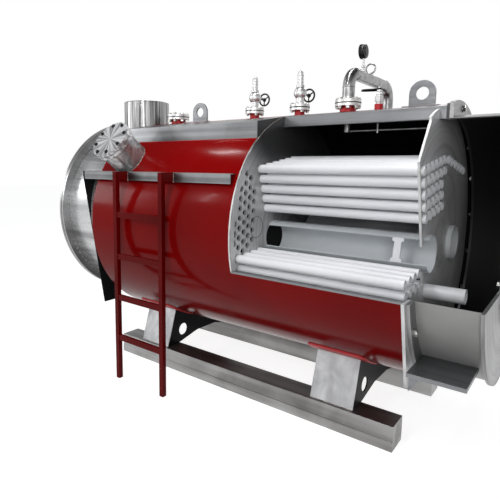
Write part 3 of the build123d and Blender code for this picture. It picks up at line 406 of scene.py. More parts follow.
@dataclass(frozen=True)
class BrushedMetal(Finish):
    """Bare sheet or plate with brush marks, soft clouds and a few smears, with bands along the grain that are
    partly painted reflection, and where asked a painted shade that darkens it towards the top and far side.
    """

    grain: Grain = Grain.FORWARD
    roughness: float = 0.28
    spread: float = 0.16
    scratch: float = 0.00003
    fineness: float = 260.0
    drawn: float = 5.0
    band: float = 0.12
    # Share of the colour given to bands along the grain, which are partly the metal's own tone and partly
    # painted reflection.
    grain_and_sheen_share: float = 0.55
    ripple: float = 6.0
    centre_y: float = 0.0
    centre_z: float = 0.0
    metallic: float = 1.0
    mark_share: float = 0.4
    smear_share: float = 0.06
    marks: Pattern = Pattern(1.0, 3.0, low=0.55, high=0.95)
    clouds: Pattern = Pattern(2.6, 4.0, 0.6, 0.3, 0.72)
    smears: Pattern = Pattern(9.0, 5.0, 1.5, 0.5, 0.85)
    # Painted shade: how strongly, in what colour and over what span the colour darkens towards the top and
    # the far side.
    painted_shade: float = 0.0
    painted_shade_colour: Colour = (0.02, 0.02, 0.021)
    painted_shade_range: tuple[float, float] = (-0.2, 0.25)
    painted_shade_lean: float = 0.8

    def grained(self, shader: Shader, place: Wire) -> Wire:
        """Return the place drawn out along the brush marks.

        Args:
            shader: The shader to write in.
            place: The place on the object.

        Returns:
            The vector that the brush marks are read from.
        """
        fine, drawn = self.fineness, self.drawn
        if self.grain is Grain.ROUND:
            x, y, z = shader.split(place)
            radius = shader.from_axis(place, self.centre_y, self.centre_z)
            angle = shader.maths("ARCTAN2", y - self.centre_y, z - self.centre_z)
            return shader.join(x * fine, radius * fine, angle * drawn)
        factors = {Grain.FORWARD: (drawn, fine, fine), Grain.UPRIGHT: (fine, fine, drawn)}
        return shader.stretch(place, factors[self.grain])

    def sockets(self, shader: Shader, place: Wire) -> Sockets:
        """Return the metal's inputs."""
        along = self.grained(shader, place)
        banding = Pattern(self.band, 2.0, low=0.35, high=0.7)
        marks, bands = shader.noise(along, self.marks), shader.noise(along, banding)
        clouds, smears = shader.patches(place, self.clouds), shader.patches(place, self.smears)
        # Colour bands along the grain: partly the metal's tone and partly painted reflection, standing in for
        # the light and dark bands that a polished surface reflects.
        grain_and_sheen_streaks = bands.between(banding.low, banding.high) * self.grain_and_sheen_share
        tone = shader.blend(clouds * (1 - self.grain_and_sheen_share) + grain_and_sheen_streaks, self.tint, self.shade)
        scored = marks.between(self.marks.low, self.marks.high) * self.mark_share
        colour = shader.blend(scored, tone, self.shade)
        # Painted shade: darken the colour towards the top and the far side of the axis, as if the crown
        # shaded it.
        if self.painted_shade:
            _, y, z = shader.split(place)
            lean = (y - self.centre_y) * self.painted_shade_lean + (z - self.centre_z)
            colour = shader.blend(lean.between(*self.painted_shade_range) * self.painted_shade, colour, self.painted_shade_colour)
        return {
            "Base Color": colour,
            "Metallic": self.metallic,
            "Roughness": self.roughness + marks * self.spread + smears * self.smear_share,
            "Normal": shader.bump(marks + bands * self.ripple, self.scratch),
        }


@dataclass(frozen=True)
class GroundMetal(Finish):
    """Thick plate ground by hand, with swirled scratches over mill scale."""

    metallic: float = 0.85
    roughness: float = 0.3
    fine_spread: float = 0.16
    swirl_spread: float = 0.14
    swirl_share: float = 0.45
    fine_share: float = 0.15
    depth: float = 0.0004
    wipe: tuple[float, float, float] = (1.0, 1.0, 0.4)
    swirls: Pattern = Pattern(14.0, 5.0, 1.1, 0.35, 0.75)
    scratches: Pattern = Pattern(196.0, 4.0, 2.0)
    clouds: Pattern = Pattern(5.0, 3.0, 0.4, 0.3, 0.7)

    def sockets(self, shader: Shader, place: Wire) -> Sockets:
        """Return the ground plate's inputs."""
        swirl = shader.noise(shader.stretch(place, self.wipe), self.swirls)
        fine = shader.noise(place, self.scratches)
        tone = shader.blend(shader.patches(place, self.clouds), self.tint, self.shade)
        share = swirl.between(self.swirls.low, self.swirls.high) * self.swirl_share
        return {
            "Base Color": shader.blend(share, tone, self.shade),
            "Metallic": self.metallic,
            "Roughness": self.roughness + fine * self.fine_spread + swirl * self.swirl_spread,
            "Normal": shader.bump(swirl + fine * self.fine_share, self.depth),
        }


@dataclass(frozen=True)
class StarMetal(Finish):
    """A round cover polished in rays from its middle."""

    middle: tuple[float, float, float]
    axis: tuple[float, float, float]
    rays: tuple[float, float, float] = (6.0, 2.0, 40.0)
    roughness: float = 0.24
    spread: float = 0.16
    metallic: float = 0.4
    fine_share: float = 0.3
    depth: float = 0.0006
    broad: Pattern = Pattern(1.0, 2.0, low=0.42, high=0.62)
    fine: Pattern = Pattern(14.0, 3.0)

    def sockets(self, shader: Shader, place: Wire) -> Sockets:
        """Return the rayed cover's inputs."""
        x, y, z = shader.split(shader.local(place, Vector(self.middle), Vector(self.axis)))
        angle, radius = shader.maths("ARCTAN2", y, x), shader.maths("SQRT", x * x + y * y)
        rayed = shader.join(*(part * rate for part, rate in zip((angle, radius, z), self.rays)))
        broad, fine = shader.noise(rayed, self.broad), shader.noise(rayed, self.fine)
        return {
            "Base Color": shader.blend(broad.between(self.broad.low, self.broad.high), self.tint, self.shade),
            "Metallic": self.metallic,
            "Roughness": self.roughness + fine * self.spread,
            "Normal": shader.bump(broad + fine * self.fine_share, self.depth),
        }


@dataclass(frozen=True)
class CastMetal(Finish):
    """Cast or forged metal under a thin silver coat, with fine pits."""

    metallic: float = 1.0
    roughness: float = 0.3
    depth: float = 0.00012
    spread: float = 0.2
    pits: Pattern = Pattern(420.0, 4.0)
    clouds: Pattern = Pattern(28.0, 4.0, 0.5, 0.35, 0.7)

    def sockets(self, shader: Shader, place: Wire) -> Sockets:
        """Return the casting's inputs."""
        pit = shader.noise(place, self.pits)
        return {
            "Base Color": shader.blend(shader.patches(place, self.clouds), self.tint, self.shade),
            "Metallic": self.metallic,
            "Roughness": self.roughness + pit * self.spread,
            "Normal": shader.bump(pit, self.depth),
        }


# Places and profiles

def aim(origin: Vector, axis: Vector) -> Matrix:
    """Return the matrix that puts a shape made about Z onto an axis."""
    return Matrix.Translation(origin) @ axis.to_track_quat("Z", "Y").to_matrix().to_4x4()


def at(x: float, y: float, z: float) -> Matrix:
    """Return the matrix that moves a shape to a place."""
    return Matrix.Translation(Vector((x, y, z)))


def in_metres(points: Points) -> Profile:
    """Return a profile in metres from one in millimetres."""
    return [(radius * MM, height * MM) for radius, height in points]


def shifted(points: Points, radius: float, height: float) -> Profile:
    """Return a profile's points moved outward and upward."""
    return [(radius + out, height + rise) for out, rise in points]


def disc(radius: float, low: float, high: float, edge: float) -> Profile:
    """Return the half section of a disc whose rims are eased by a given edge."""
    return [
        (0.0, low), (radius - edge, low), (radius, low + edge), (radius, high - edge), (radius - edge, high),
        (0.0, high)]


def arc(centre: tuple[float, float], radius: float, start: float, end: float, steps: int) -> Profile:
    """Return points on an arc.

    Args:
        centre: The arc's centre, as radius and height.
        radius: The arc's radius.
        start: The first angle in degrees, where zero points away from the axis.
        end: The last angle in degrees.
        steps: How many steps lie between them.

    Returns:
        The arc's points in order.
    """
    angles = [math.radians(start + (end - start) * step / steps) for step in range(steps + 1)]
    return [(centre[0] + radius * math.cos(angle), centre[1] + radius * math.sin(angle)) for angle in angles]


def circle(count: int, radius: float, start: float = 0.0) -> list[Vector]:
    """Return points on a circle about Z, the first at a start angle in degrees."""
    angles = [math.radians(start) + math.tau * index / count for index in range(count)]
    return [Vector((radius * math.cos(angle), radius * math.sin(angle), 0.0)) for angle in angles]


def saddle(count: int, radius: float, large: float, foot: Vector, out: Vector) -> list[Vector]:
    """Return the line where a round branch meets a larger cylinder that runs forward.

    Args:
        count: How many points the line has.
        radius: The branch's radius.
        large: The cylinder's radius.
        foot: The point on the cylinder's axis that the branch stands over.
        out: The branch's direction.

    Returns:
        The points in order.
    """
    across = out.cross(FORWARD)
    return [foot + out * math.sqrt(large**2 - point.y**2) + FORWARD * point.x + across * point.y
            for point in circle(count, radius)]


# Meshes

def mesh_of(name: str, points: Sequence[Vector], faces: Sequence[Sequence[int]],
            edges: Sequence[tuple[int, int]] = ()) -> bpy.types.Mesh:
    """Return a mesh from points and faces."""
    mesh = bpy.data.meshes.new(name)
    mesh.from_pydata([tuple(point) for point in points], list(edges), [tuple(face) for face in faces])
    mesh.update()
    return mesh


def smooth(mesh: bpy.types.Mesh, angle: float = SHARP_ANGLE) -> bpy.types.Mesh:
    """Shade a mesh smooth, with its corners kept sharp.

    Args:
        mesh: The mesh to shade.
        angle: The turn in degrees past which an edge stays sharp.

    Returns:
        The same mesh.
    """
    mesh.polygons.foreach_set("use_smooth", [True] * len(mesh.polygons))
    mesh.set_sharp_from_angle(angle=math.radians(angle))
    mesh.update()
    return mesh


def outward(mesh: bpy.types.Mesh) -> bpy.types.Mesh:
    """Merge a mesh's doubled points and turn its faces outward."""
    work = bmesh.new()
    work.from_mesh(mesh)
    bmesh.ops.remove_doubles(work, verts=work.verts, dist=MERGE_DISTANCE / 10)
    bmesh.ops.recalc_face_normals(work, faces=work.faces)
    work.to_mesh(mesh)
    work.free()
    return mesh


def strips(rows: int, sides: int, closed: bool = False) -> list[Sequence[int]]:
    """Return the faces between rows of points that each go once round.

    Args:
        rows: How many rows of points there are.
        sides: How many points each row has.
        closed: Whether the last row joins the first.

    Returns:
        The faces, each as four point numbers.
    """
    faces: list[Sequence[int]] = []
    for row in range(rows if closed else rows - 1):
        low, high = row * sides, (row + 1) % rows * sides
        for step in range(sides):
            turn = (step + 1) % sides
            faces.append((low + step, low + turn, high + turn, high + step))
    return faces


def lathe(name: str, profile: Points, segments: int = 48, closed: bool = False) -> bpy.types.Mesh:
    """Turn a profile about Z.

    Args:
        name: The mesh's name.
        profile: Radius and height of each point, in metres, from below to above.
        segments: How many steps the turn takes.
        closed: Whether the last point joins the first, as in a ring's section.

    Returns:
        The turned mesh, closed where the profile meets the axis.
    """
    points = [point + UP * height for radius, height in profile for point in circle(segments, radius)]
    return smooth(outward(mesh_of(name, points, strips(len(profile), segments, closed))))


def bar(name: str, route: Sequence[Vector], radii: Sequence[float], sides: int,
        flat: float) -> bpy.types.Mesh:
    """Sweep a flattened section along a route and close its ends.

    Args:
        name: The mesh's name.
        route: The section's middles in order.
        radii: The section's radius at each of them.
        sides: How many sides the section has.
        flat: The section's height, as a share of its width.

    Returns:
        The bar's mesh.
    """
    points: list[Vector] = []
    for index, (middle, radius) in enumerate(zip(route, radii)):
        run = route[min(index + 1, len(route) - 1)] - route[max(index - 1, 0)]
        side = run.cross(UP).normalized()
        top = side.cross(run).normalized()
        points += [middle + side * point.x + top * (flat * point.y) for point in circle(sides, radius)]
    faces = strips(len(route), sides)
    faces += [tuple(range(sides)), tuple(range((len(route) - 1) * sides, len(route) * sides))]
    return smooth(outward(mesh_of(name, points, faces)), 40.0)


def torus(name: str, radius: float, wire: float, around: int, across: int) -> bpy.types.Mesh:
    """Return a ring of round bar about Z."""
    section = arc((radius, 0.0), wire, 0.0, 360.0 - 360.0 / across, across - 1)
    return lathe(name, section, around, closed=True)


def merged(name: str, meshes: Sequence[bpy.types.Mesh]) -> bpy.types.Mesh:
    """Join meshes into one, shading included."""
    work = bmesh.new()
    for mesh in meshes:
        work.from_mesh(mesh)
    joined = bpy.data.meshes.new(name)
    work.to_mesh(joined)
    work.free()
    return joined


def placed(mesh: bpy.types.Mesh, matrix: Matrix) -> bpy.types.Mesh:
    """Move a mesh's points by a matrix."""
    mesh.transform(matrix)
    mesh.update()
    return mesh


def ease(item: bpy.types.Object, width: float) -> None:
    """Ease an object's sharp edges by a width in metres."""
    edge = item.modifiers.new("Eased edges", "BEVEL")
    edge.width = width
    edge.segments = 2
    edge.limit_method = "ANGLE"
    edge.angle_limit = math.radians(40)
    edge.harden_normals = True


# Geometry Nodes

class Recipe(Tree):
    """A Geometry Nodes tree that turns points or lines into plain mesh."""

    def __init__(self, name: str) -> None:
        """Start an empty tree."""
        super().__init__(bpy.data.node_groups.new(name, "GeometryNodeTree"))
        for side in ("INPUT", "OUTPUT"):
            self.tree.interface.new_socket(name="Geometry", in_out=side, socket_type="NodeSocketGeometry")
        self.start = self.tree.nodes.new("NodeGroupInput")
        self.geometry = Wire(self, self.start.outputs["Geometry"])
        self.sizes: dict[str, str] = {}

    def size(self, name: str, value: float) -> Wire:
        """Add a named size to the tree's inputs.

        Args:
            name: The size's name.
            value: The size's default.

        Returns:
            The size inside the tree.
        """
        socket = self.tree.interface.new_socket(name=name, in_out="INPUT", socket_type="NodeSocketFloat")
        socket.default_value = value
        self.sizes[name] = socket.identifier
        return Wire(self, self.start.outputs[name])

    def moved(self, geometry: Wire, shift: Wire) -> Wire:
        """Return a geometry moved by a vector."""
        return self.out("GeometryNodeTransform", {"Geometry": geometry, "Translation": shift})

    def ring(self, resolution: int, radius: Wire) -> Wire:
        """Return a circular curve."""
        return self.out("GeometryNodeCurvePrimitiveCircle", {"Resolution": resolution, "Radius": radius})

    def copies(self, shape: Wire, angle: Amount = 0.0) -> Wire:
        """Return a copy of a shape at each point, turned about Z by an angle."""
        rotation = self.out("FunctionNodeEulerToRotation", {0: self.join(z=angle)})
        sockets = {"Points": self.geometry, "Instance": shape, "Rotation": rotation}
        return self.out("GeometryNodeInstanceOnPoints", sockets)

    def close(self, geometry: Wire, material: bpy.types.Material, shaded_smooth: bool) -> "Recipe":
        """End the tree: realize the copies, shade them and give them their material.

        Args:
            geometry: What the tree has made.
            material: Its material.
            shaded_smooth: Whether its faces are shaded smooth.

        Returns:
            The same tree.
        """
        real = self.out("GeometryNodeRealizeInstances", {"Geometry": geometry})
        shaded = self.out("GeometryNodeSetShadeSmooth", {"Geometry": real, "Shade Smooth": shaded_smooth})
        dressed = self.out("GeometryNodeSetMaterial", {"Geometry": shaded, "Material": material})
        self.node("NodeGroupOutput", {0: dressed})
        return self

    def run(self, name: str, mesh: bpy.types.Mesh, sizes: dict[str, float]) -> bpy.types.Mesh:
        """Run the tree on a mesh.

        Args:
            name: The result's name.
            mesh: The points or lines to start from.
            sizes: A value for each named size.

        Returns:
            The plain mesh.
        """
        seed = bpy.data.objects.new(name + "_seed", mesh)
        bpy.context.scene.collection.objects.link(seed)
        modifier = seed.modifiers.new("Recipe", "NODES")
        modifier.node_group = self.tree
        for key, value in sizes.items():
            modifier[self.sizes[key]] = value
        made = bpy.data.meshes.new_from_object(seed.evaluated_get(bpy.context.evaluated_depsgraph_get()))
        made.name = name
        bpy.data.objects.remove(seed)
        return made


def bolt_recipe(material: bpy.types.Material) -> Recipe:
    """Return the tree that puts a bolt, washer and nut at each point, along Z.

    Args:
        material: The fasteners' material.

    Returns:
        The tree, with the sizes Shank and Grip. Each point lies under a bolt's head.
    """
    recipe = Recipe("bolts")
    shank, grip = recipe.size("Shank", 6 * MM), recipe.size("Grip", 50 * MM)
    head, washer = shank * 1.2, shank * 0.3
    under = grip * -1.0
    # Sides, radius as a share of the shank's, depth and height of the middle
    drums = (
        (6, 1.85, head, head * 0.5 + washer),
        (16, 2.15, washer, washer * 0.5),
        (16, 2.15, washer, under + washer * -0.5),
        (6, 1.85, head * 1.2, under + washer * -1.0 + head * -0.6),
        (12, 0.95, grip + head * 3.1, grip * -0.5 + head * -0.1),
    )
    joined = recipe.node("GeometryNodeJoinGeometry", {})
    for sides, width, depth, height in drums:
        sockets = {"Vertices": sides, "Radius": shank * width, "Depth": depth}
        drum = recipe.out("GeometryNodeMeshCylinder", sockets, "Mesh")
        recipe.tree.links.new(recipe.moved(drum, recipe.join(z=height)).socket, joined.inputs[0])
    turn = recipe.node("FunctionNodeRandomValue", {"Min": 0.0, "Max": 1.05, "Seed": 7}, data_type="FLOAT")
    angle = Wire(recipe, next(socket for socket in turn.outputs if socket.enabled))
    return recipe.close(recipe.copies(Wire(recipe, joined.outputs[0]), angle), material, False)


def weld_recipe(material: bpy.types.Material) -> Recipe:
    """Return the tree that runs a rippled weld bead along lines.

    Args:
        material: The bead's material.

    Returns:
        The tree, with the sizes Bead and Ripple.
    """
    recipe = Recipe("weld_" + material.name)
    bead, ripple = recipe.size("Bead", 3 * MM), recipe.size("Ripple", 6 * MM)
    line = recipe.out("GeometryNodeMeshToCurve", {"Mesh": recipe.geometry})
    stepped = recipe.out("GeometryNodeResampleCurve", {"Curve": line, "Length": ripple * 0.5}, mode="LENGTH")
    wave = recipe.maths("COSINE", recipe.out("GeometryNodeInputIndex", {}) * math.pi)
    swell = recipe.maths("MULTIPLY_ADD", wave, 0.16, 1.0)
    rippled = recipe.out("GeometryNodeSetCurveRadius", {"Curve": stepped, "Radius": swell})
    sockets = {"Curve": rippled, "Profile Curve": recipe.ring(6, bead), "Fill Caps": True}
    return recipe.close(recipe.out("GeometryNodeCurveToMesh", sockets), material, True)


def ring_recipe(material: bpy.types.Material) -> Recipe:
    """Return the tree that lays a round bead about Z at each point.

    Args:
        material: The rings' material.

    Returns:
        The tree, with the sizes Radius and Bead.
    """
    recipe = Recipe("rings_" + material.name)
    radius, bead = recipe.size("Radius", 20 * MM), recipe.size("Bead", 2 * MM)
    sockets = {"Curve": recipe.ring(28, radius), "Profile Curve": recipe.ring(6, bead)}
    return recipe.close(recipe.copies(recipe.out("GeometryNodeCurveToMesh", sockets)), material, True)


def tick_recipe(material: bpy.types.Material) -> Recipe:
    """Return the tree that sets a dial's ticks round a circle.

    Args:
        material: The ticks' material.

    Returns:
        The tree, with the sizes Radius, Length, Width and Step. It starts from a row of points.
    """
    recipe = Recipe("ticks")
    defaults = {"Radius": 34 * MM, "Length": 6 * MM, "Width": 1.2 * MM, "Step": 0.2}
    radius, length, width, step = (recipe.size(name, value) for name, value in defaults.items())
    size = recipe.join(length, width, width * 0.5)
    tick = recipe.out("GeometryNodeMeshCube", {"Size": size}, "Mesh")
    angle = recipe.out("GeometryNodeInputIndex", {}) * step
    return recipe.close(recipe.copies(recipe.moved(tick, recipe.join(radius)), angle), material, False)


# The frame and its finishes

@dataclass(frozen=True)
class Box:
    """A node's limits, in metres."""

    low: Vector
    high: Vector

    @property
    def middle(self) -> Vector:
        """Return the box's middle."""
        return (self.low + self.high) / 2

    @property
    def size(self) -> Vector:
        """Return the box's length, width and height."""
        return self.high - self.low


class Model:
    """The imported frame, with what dresses its nodes and adds pieces to it."""

    def __init__(self) -> None:
        """Load the frame and make the finishes that need its sizes."""
        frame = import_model()
        self.nodes: dict[str, bpy.types.Object] = frame["nodes"]
        self.bodies: dict[str, list[str]] = frame["record"]["behaviour"]["bodies"]
        self.start_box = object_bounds()
        self.undressed = set(self.nodes)
        self.finishes = Finishes(self)
        self.bolts = bolt_recipe(self.finishes.zinc.material())

    def box(self, node: str) -> Box:
        """Return a node's box."""
        low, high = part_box(node)
        return Box(Vector(low), Vector(high))

    def dress(self, finish: Finish, node: str) -> None:
        """Give a node a finish and leave its shape as it is."""
        item = self.nodes[node]
        if not item.material_slots:
            item.data.materials.append(finish.material())
        for slot in item.material_slots:
            slot.material = finish.material()
        self.undressed.discard(node)
        LOG.info("dressed %s in %s", node, finish.name)

    def piece(self, name: str, mesh: bpy.types.Mesh, finish: Finish, replaced: Sequence[str] = (),
              body: str = "boiler") -> bpy.types.Object:
        """Add a finished piece.

        Args:
            name: The piece's name.
            mesh: Its mesh, already in place.
            finish: Its finish.
            replaced: The nodes that it stands for.
            body: The body that it rides on.

        Returns:
            The new object.
        """
        item = bpy.data.objects.new(name, mesh)
        bpy.context.scene.collection.objects.link(item)
        item.data.materials.clear()
        item.data.materials.append(finish.material())
        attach(item, body)
        if replaced:
            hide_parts(*replaced)
            self.undressed.difference_update(replaced)
        LOG.info("added %s with %d faces", name, len(mesh.polygons))
        return item

    def turned(self, name: str, profile: Points, finish: Finish, frame: Matrix, segments: int = 48,
               replaced: Sequence[str] = ()) -> None:
        """Add a piece that is turned from one profile.

        Args:
            name: The piece's name.
            profile: Radius and height of each point, in metres.
            finish: The piece's finish.
            frame: The matrix that puts it in its place.
            segments: How many steps the turn takes.
            replaced: The nodes that the piece stands for.
        """
        self.piece(name, placed(lathe(name, profile, segments), frame), finish, replaced)

    def skin(self, finish: Finish, *nodes: str, bevel: float = 0.0) -> None:
        """Stand a smoothly shaded copy in for each node, with its edges eased where asked.

        Args:
            finish: The copies' finish.
            nodes: The nodes to copy.
            bevel: The width of the eased edges, in metres.
        """
        for node in nodes:
            source = self.nodes[node].data
            points = [vertex.co for vertex in source.vertices]
            mesh = mesh_of(node + "_skin", points, [polygon.vertices for polygon in source.polygons])
            work = bmesh.new()
            work.from_mesh(mesh)
            bmesh.ops.remove_doubles(work, verts=work.verts, dist=MERGE_DISTANCE)
            if bevel:
                flat = math.radians(0.4)
                bmesh.ops.dissolve_limit(work, angle_limit=flat, verts=work.verts, edges=work.edges)
            work.to_mesh(mesh)
            work.free()
            body = next(body for body, members in self.bodies.items() if node in members)
            item = self.piece(node + "_skin", smooth(mesh), finish, (node,), body)
            if bevel:
                ease(item, bevel)

    def solids(self, node: str) -> list[Box]:
        """Return the box of each separate solid in a node.

        Args:
            node: The node to look through.

        Returns:
            The boxes, ordered by place across and then by height.
        """
        work = bmesh.new()
        work.from_mesh(self.nodes[node].data)
        bmesh.ops.remove_doubles(work, verts=work.verts, dist=MERGE_DISTANCE)
        left = set(work.verts)
        boxes = []
        while left:
            found = {left.pop()}
            front = list(found)
            while front:
                vertex = front.pop()
                fresh = {edge.other_vert(vertex) for edge in vertex.link_edges} - found
                found |= fresh
                front.extend(fresh)
            left -= found
            parts = list(zip(*(vertex.co for vertex in found)))
            boxes.append(Box(Vector([min(part) for part in parts]), Vector([max(part) for part in parts])))
        work.free()
        return sorted(boxes, key=lambda box: (round(box.low.y, 4), round(box.low.z, 4)))

    def fasten(self, name: str, places: Sequence[Vector], frame: Matrix, shank: float, grip: float,
               finish: Optional[Finish] = None) -> None:
        """Put bolts at places in a fitting's own frame, whose Z points out of the bolts' heads.

        Args:
            name: The piece's name.
            places: The points under the bolts' heads.
            frame: The fitting's frame.
            shank: The bolts' radius.
            grip: How much the bolts clamp.
            finish: The bolts' finish, or none for zinc.
        """
        made = self.bolts.run(name, mesh_of(name, places, []), {"Shank": shank, "Grip": grip})
        self.piece(name, placed(made, frame), finish or self.finishes.zinc)

    def weld(self, name: str, lines: Sequence[Sequence[Vector]], finish: Finish, bead: float,
             closed: bool = True) -> None:
        """Run weld beads along lines.

        Args:
            name: The piece's name.
            lines: The points of each line in order.
            finish: The bead's finish.
            bead: The bead's radius.
            closed: Whether each line comes back to its start.
        """
        points: list[Vector] = []
        edges: list[tuple[int, int]] = []
        for line in lines:
            first = len(points)
            points.extend(line)
            edges.extend((first + index, first + index + 1) for index in range(len(line) - 1))
            if closed:
                edges.append((first + len(line) - 1, first))
        recipe = self.finishes.weld(finish)
        made = recipe.run(name, mesh_of(name, points, [], edges), {"Bead": bead, "Ripple": bead * 2.2})
        self.piece(name, made, finish)


class Finishes:
    """Every finish of the boiler, by its use."""

    def __init__(self, model: Model) -> None:
        """Make the finishes.

        Args:
            model: The frame, for the places that round patterns turn about.
        """
        shell, smokebox, cover = model.box("shell"), model.box("smokebox_shell"), model.box("manhole_cover")
        axis = {"centre_y": shell.middle.y, "centre_z": shell.middle.z}
        shell_radius, drum_radius = shell.size.z / 2, model.box("drum").size.z / 2
        out = (cover.middle - Vector((cover.middle.x, shell.middle.y, shell.middle.z))).normalized()
        red = ((0.23, 0.0022, 0.0024), (0.18, 0.0016, 0.0018))
        along, round_axis = Grain.FORWARD, Grain.ROUND
        # Inside the shell and the drum the colour is near-black painted shade.
        self.shell_red = InsideShadedPaint("shell_red", "red_paint", *red, **axis, skin_radius=shell_radius - 4 * MM)
        self.red = Paint("red_paint", "red_paint", *red, roughness=0.13)
        # The ladder's red is a darker copy of the shell's red: painted shade for its side that faces away
        # from the light.
        self.ladder_red_painted_shade = Paint(
            "ladder_red_painted_shade", "red_paint", (0.13, 0.0012, 0.0014), (0.09, 0.0008, 0.001), 0.24)
        self.fascia = BrushedMetal(
            "fascia_sheet", "galvanised", (0.26, 0.265, 0.275), (0.1, 0.102, 0.106), along, 0.24)
        self.frame = BrushedMetal(
            "frame_steel", "galvanised", (0.24, 0.245, 0.255), (0.13, 0.132, 0.14), along, metallic=0.8)
        self.platform = BrushedMetal(
            "platform_sheet", "galvanised", (0.3, 0.305, 0.31), (0.1, 0.102, 0.105), along, 0.26)
        # The tube sheet carries painted shade that darkens its upper far side.
        self.sheet = BrushedMetal(
            "tube_sheet", "brushed_sheet", (0.74, 0.74, 0.745), (0.42, 0.42, 0.425), round_axis, 0.34,
            metallic=0.35, painted_shade=0.95, **axis)
        self.edge_sheet = BrushedMetal(
            "edge_sheet", "brushed_sheet", (0.8, 0.8, 0.805), (0.5, 0.5, 0.505), round_axis, 0.34,
            metallic=0.2, **axis)
        # The smokebox, stack and neck carry strong colour bands along their grain, partly painted reflection.
        self.smokebox = BrushedMetal(
            "smokebox_sheet", "polished_steel", (0.62, 0.625, 0.63), (0.16, 0.162, 0.165), along, 0.22,
            spread=0.12, fineness=60.0, band=0.2, grain_and_sheen_share=0.75, ripple=3.0, metallic=0.65)
        self.rim = BrushedMetal(
            "smokebox_rim", "polished_steel", (0.42, 0.42, 0.425), (0.2, 0.2, 0.202), round_axis, 0.26,
            spread=0.12, grain_and_sheen_share=0.25, ripple=0.5, centre_y=smokebox.middle.y, centre_z=smokebox.middle.z,
            metallic=0.8)
        self.stack = BrushedMetal(
            "stack_sheet", "polished_steel", (0.4, 0.4, 0.4), (0.03, 0.03, 0.03), Grain.UPRIGHT, 0.24,
            spread=0.14, fineness=140.0, band=0.42, grain_and_sheen_share=0.95, ripple=3.0)
        self.neck = BrushedMetal(
            "neck_steel", "polished_steel", (0.56, 0.56, 0.56), (0.16, 0.16, 0.16), Grain.UPRIGHT, 0.2,
            spread=0.1, metallic=0.6, ripple=1.5)
        self.star = StarMetal(
            "cover_steel", "polished_steel", (0.74, 0.75, 0.76), (0.3, 0.3, 0.31), tuple(cover.middle),
            tuple(out))
        self.tube = Paint(
            "tube_white", "white_tube", (0.84, 0.85, 0.87), (0.78, 0.79, 0.82), 0.3, 0.15, 0.5,
            peel=0.000004, dust=0.03)
        self.flue = Paint(
            "flue_grey", "white_tube", (0.72, 0.75, 0.77), (0.58, 0.61, 0.63), 0.36, 0.1, 0.4, peel=0.00001)
        self.drum = InsideShadedPaint(
            "drum_grey", "grey_drum", (0.42, 0.42, 0.41), (0.27, 0.27, 0.265), 0.36, 0.1, 0.5,
            skin_radius=drum_radius - 3 * MM, **axis)
        self.cover = BrushedMetal(
            "drum_cover", "grey_drum", (0.34, 0.34, 0.34), (0.17, 0.17, 0.17), round_axis, 0.3,
            metallic=0.7, **axis)
        self.cast = CastMetal(
            "cast_silver", "cast_silver", (0.24, 0.24, 0.235), (0.11, 0.11, 0.108), 0.5, 0.36)
        self.pipe = CastMetal(
            "pipe_silver", "cast_silver", (0.34, 0.34, 0.34), (0.2, 0.2, 0.2), 1.0, 0.2, 0.00003)
        self.black = Paint(
            "black_enamel", "black_iron", (0.008, 0.008, 0.009), (0.014, 0.014, 0.015), 0.3, specular=0.3)
        self.web_black = Paint(
            "web_black", "black_iron", (0.008, 0.008, 0.009), (0.015, 0.0145, 0.0145), 0.45, 0.05)
        self.gasket = Paint(
            "gasket_and_shade_black", "black_iron", (0.006, 0.006, 0.006), (0.012, 0.012, 0.012), 0.7, 0.0)
        self.skid = BrushedMetal(
            "skid_steel", "raw_steel", (0.4, 0.4, 0.4), (0.13, 0.125, 0.12), along, 0.3,
            spread=0.2, scratch=0.00012, fineness=90.0)
        self.ground = GroundMetal("ground_steel", "raw_steel", (0.58, 0.59, 0.6), (0.3, 0.3, 0.31))
        self.zinc = CastMetal(
            "bolt_zinc", "polished_steel", (0.56, 0.56, 0.54), (0.34, 0.34, 0.32), 1.0, 0.22, 0.00003)
        self.bead = CastMetal("weld_steel", "brushed_sheet", (0.42, 0.4, 0.38), (0.16, 0.14, 0.13))
        self.dark_bolt = CastMetal(
            "bolt_dark", "black_iron", (0.05, 0.05, 0.05), (0.02, 0.02, 0.02), 0.8, 0.3, 0.00003)
        self.white = Paint("dial_white", "white_tube", (0.8, 0.8, 0.78), (0.76, 0.76, 0.74), 0.4, 0.3)
        self.recipes: dict[str, Recipe] = {}

    def weld(self, finish: Finish) -> Recipe:
        """Return the weld tree for a finish, made on first use."""
        if finish.name not in self.recipes:
            self.recipes[finish.name] = weld_recipe(finish.material())
        return self.recipes[finish.name]


# Sub-assemblies

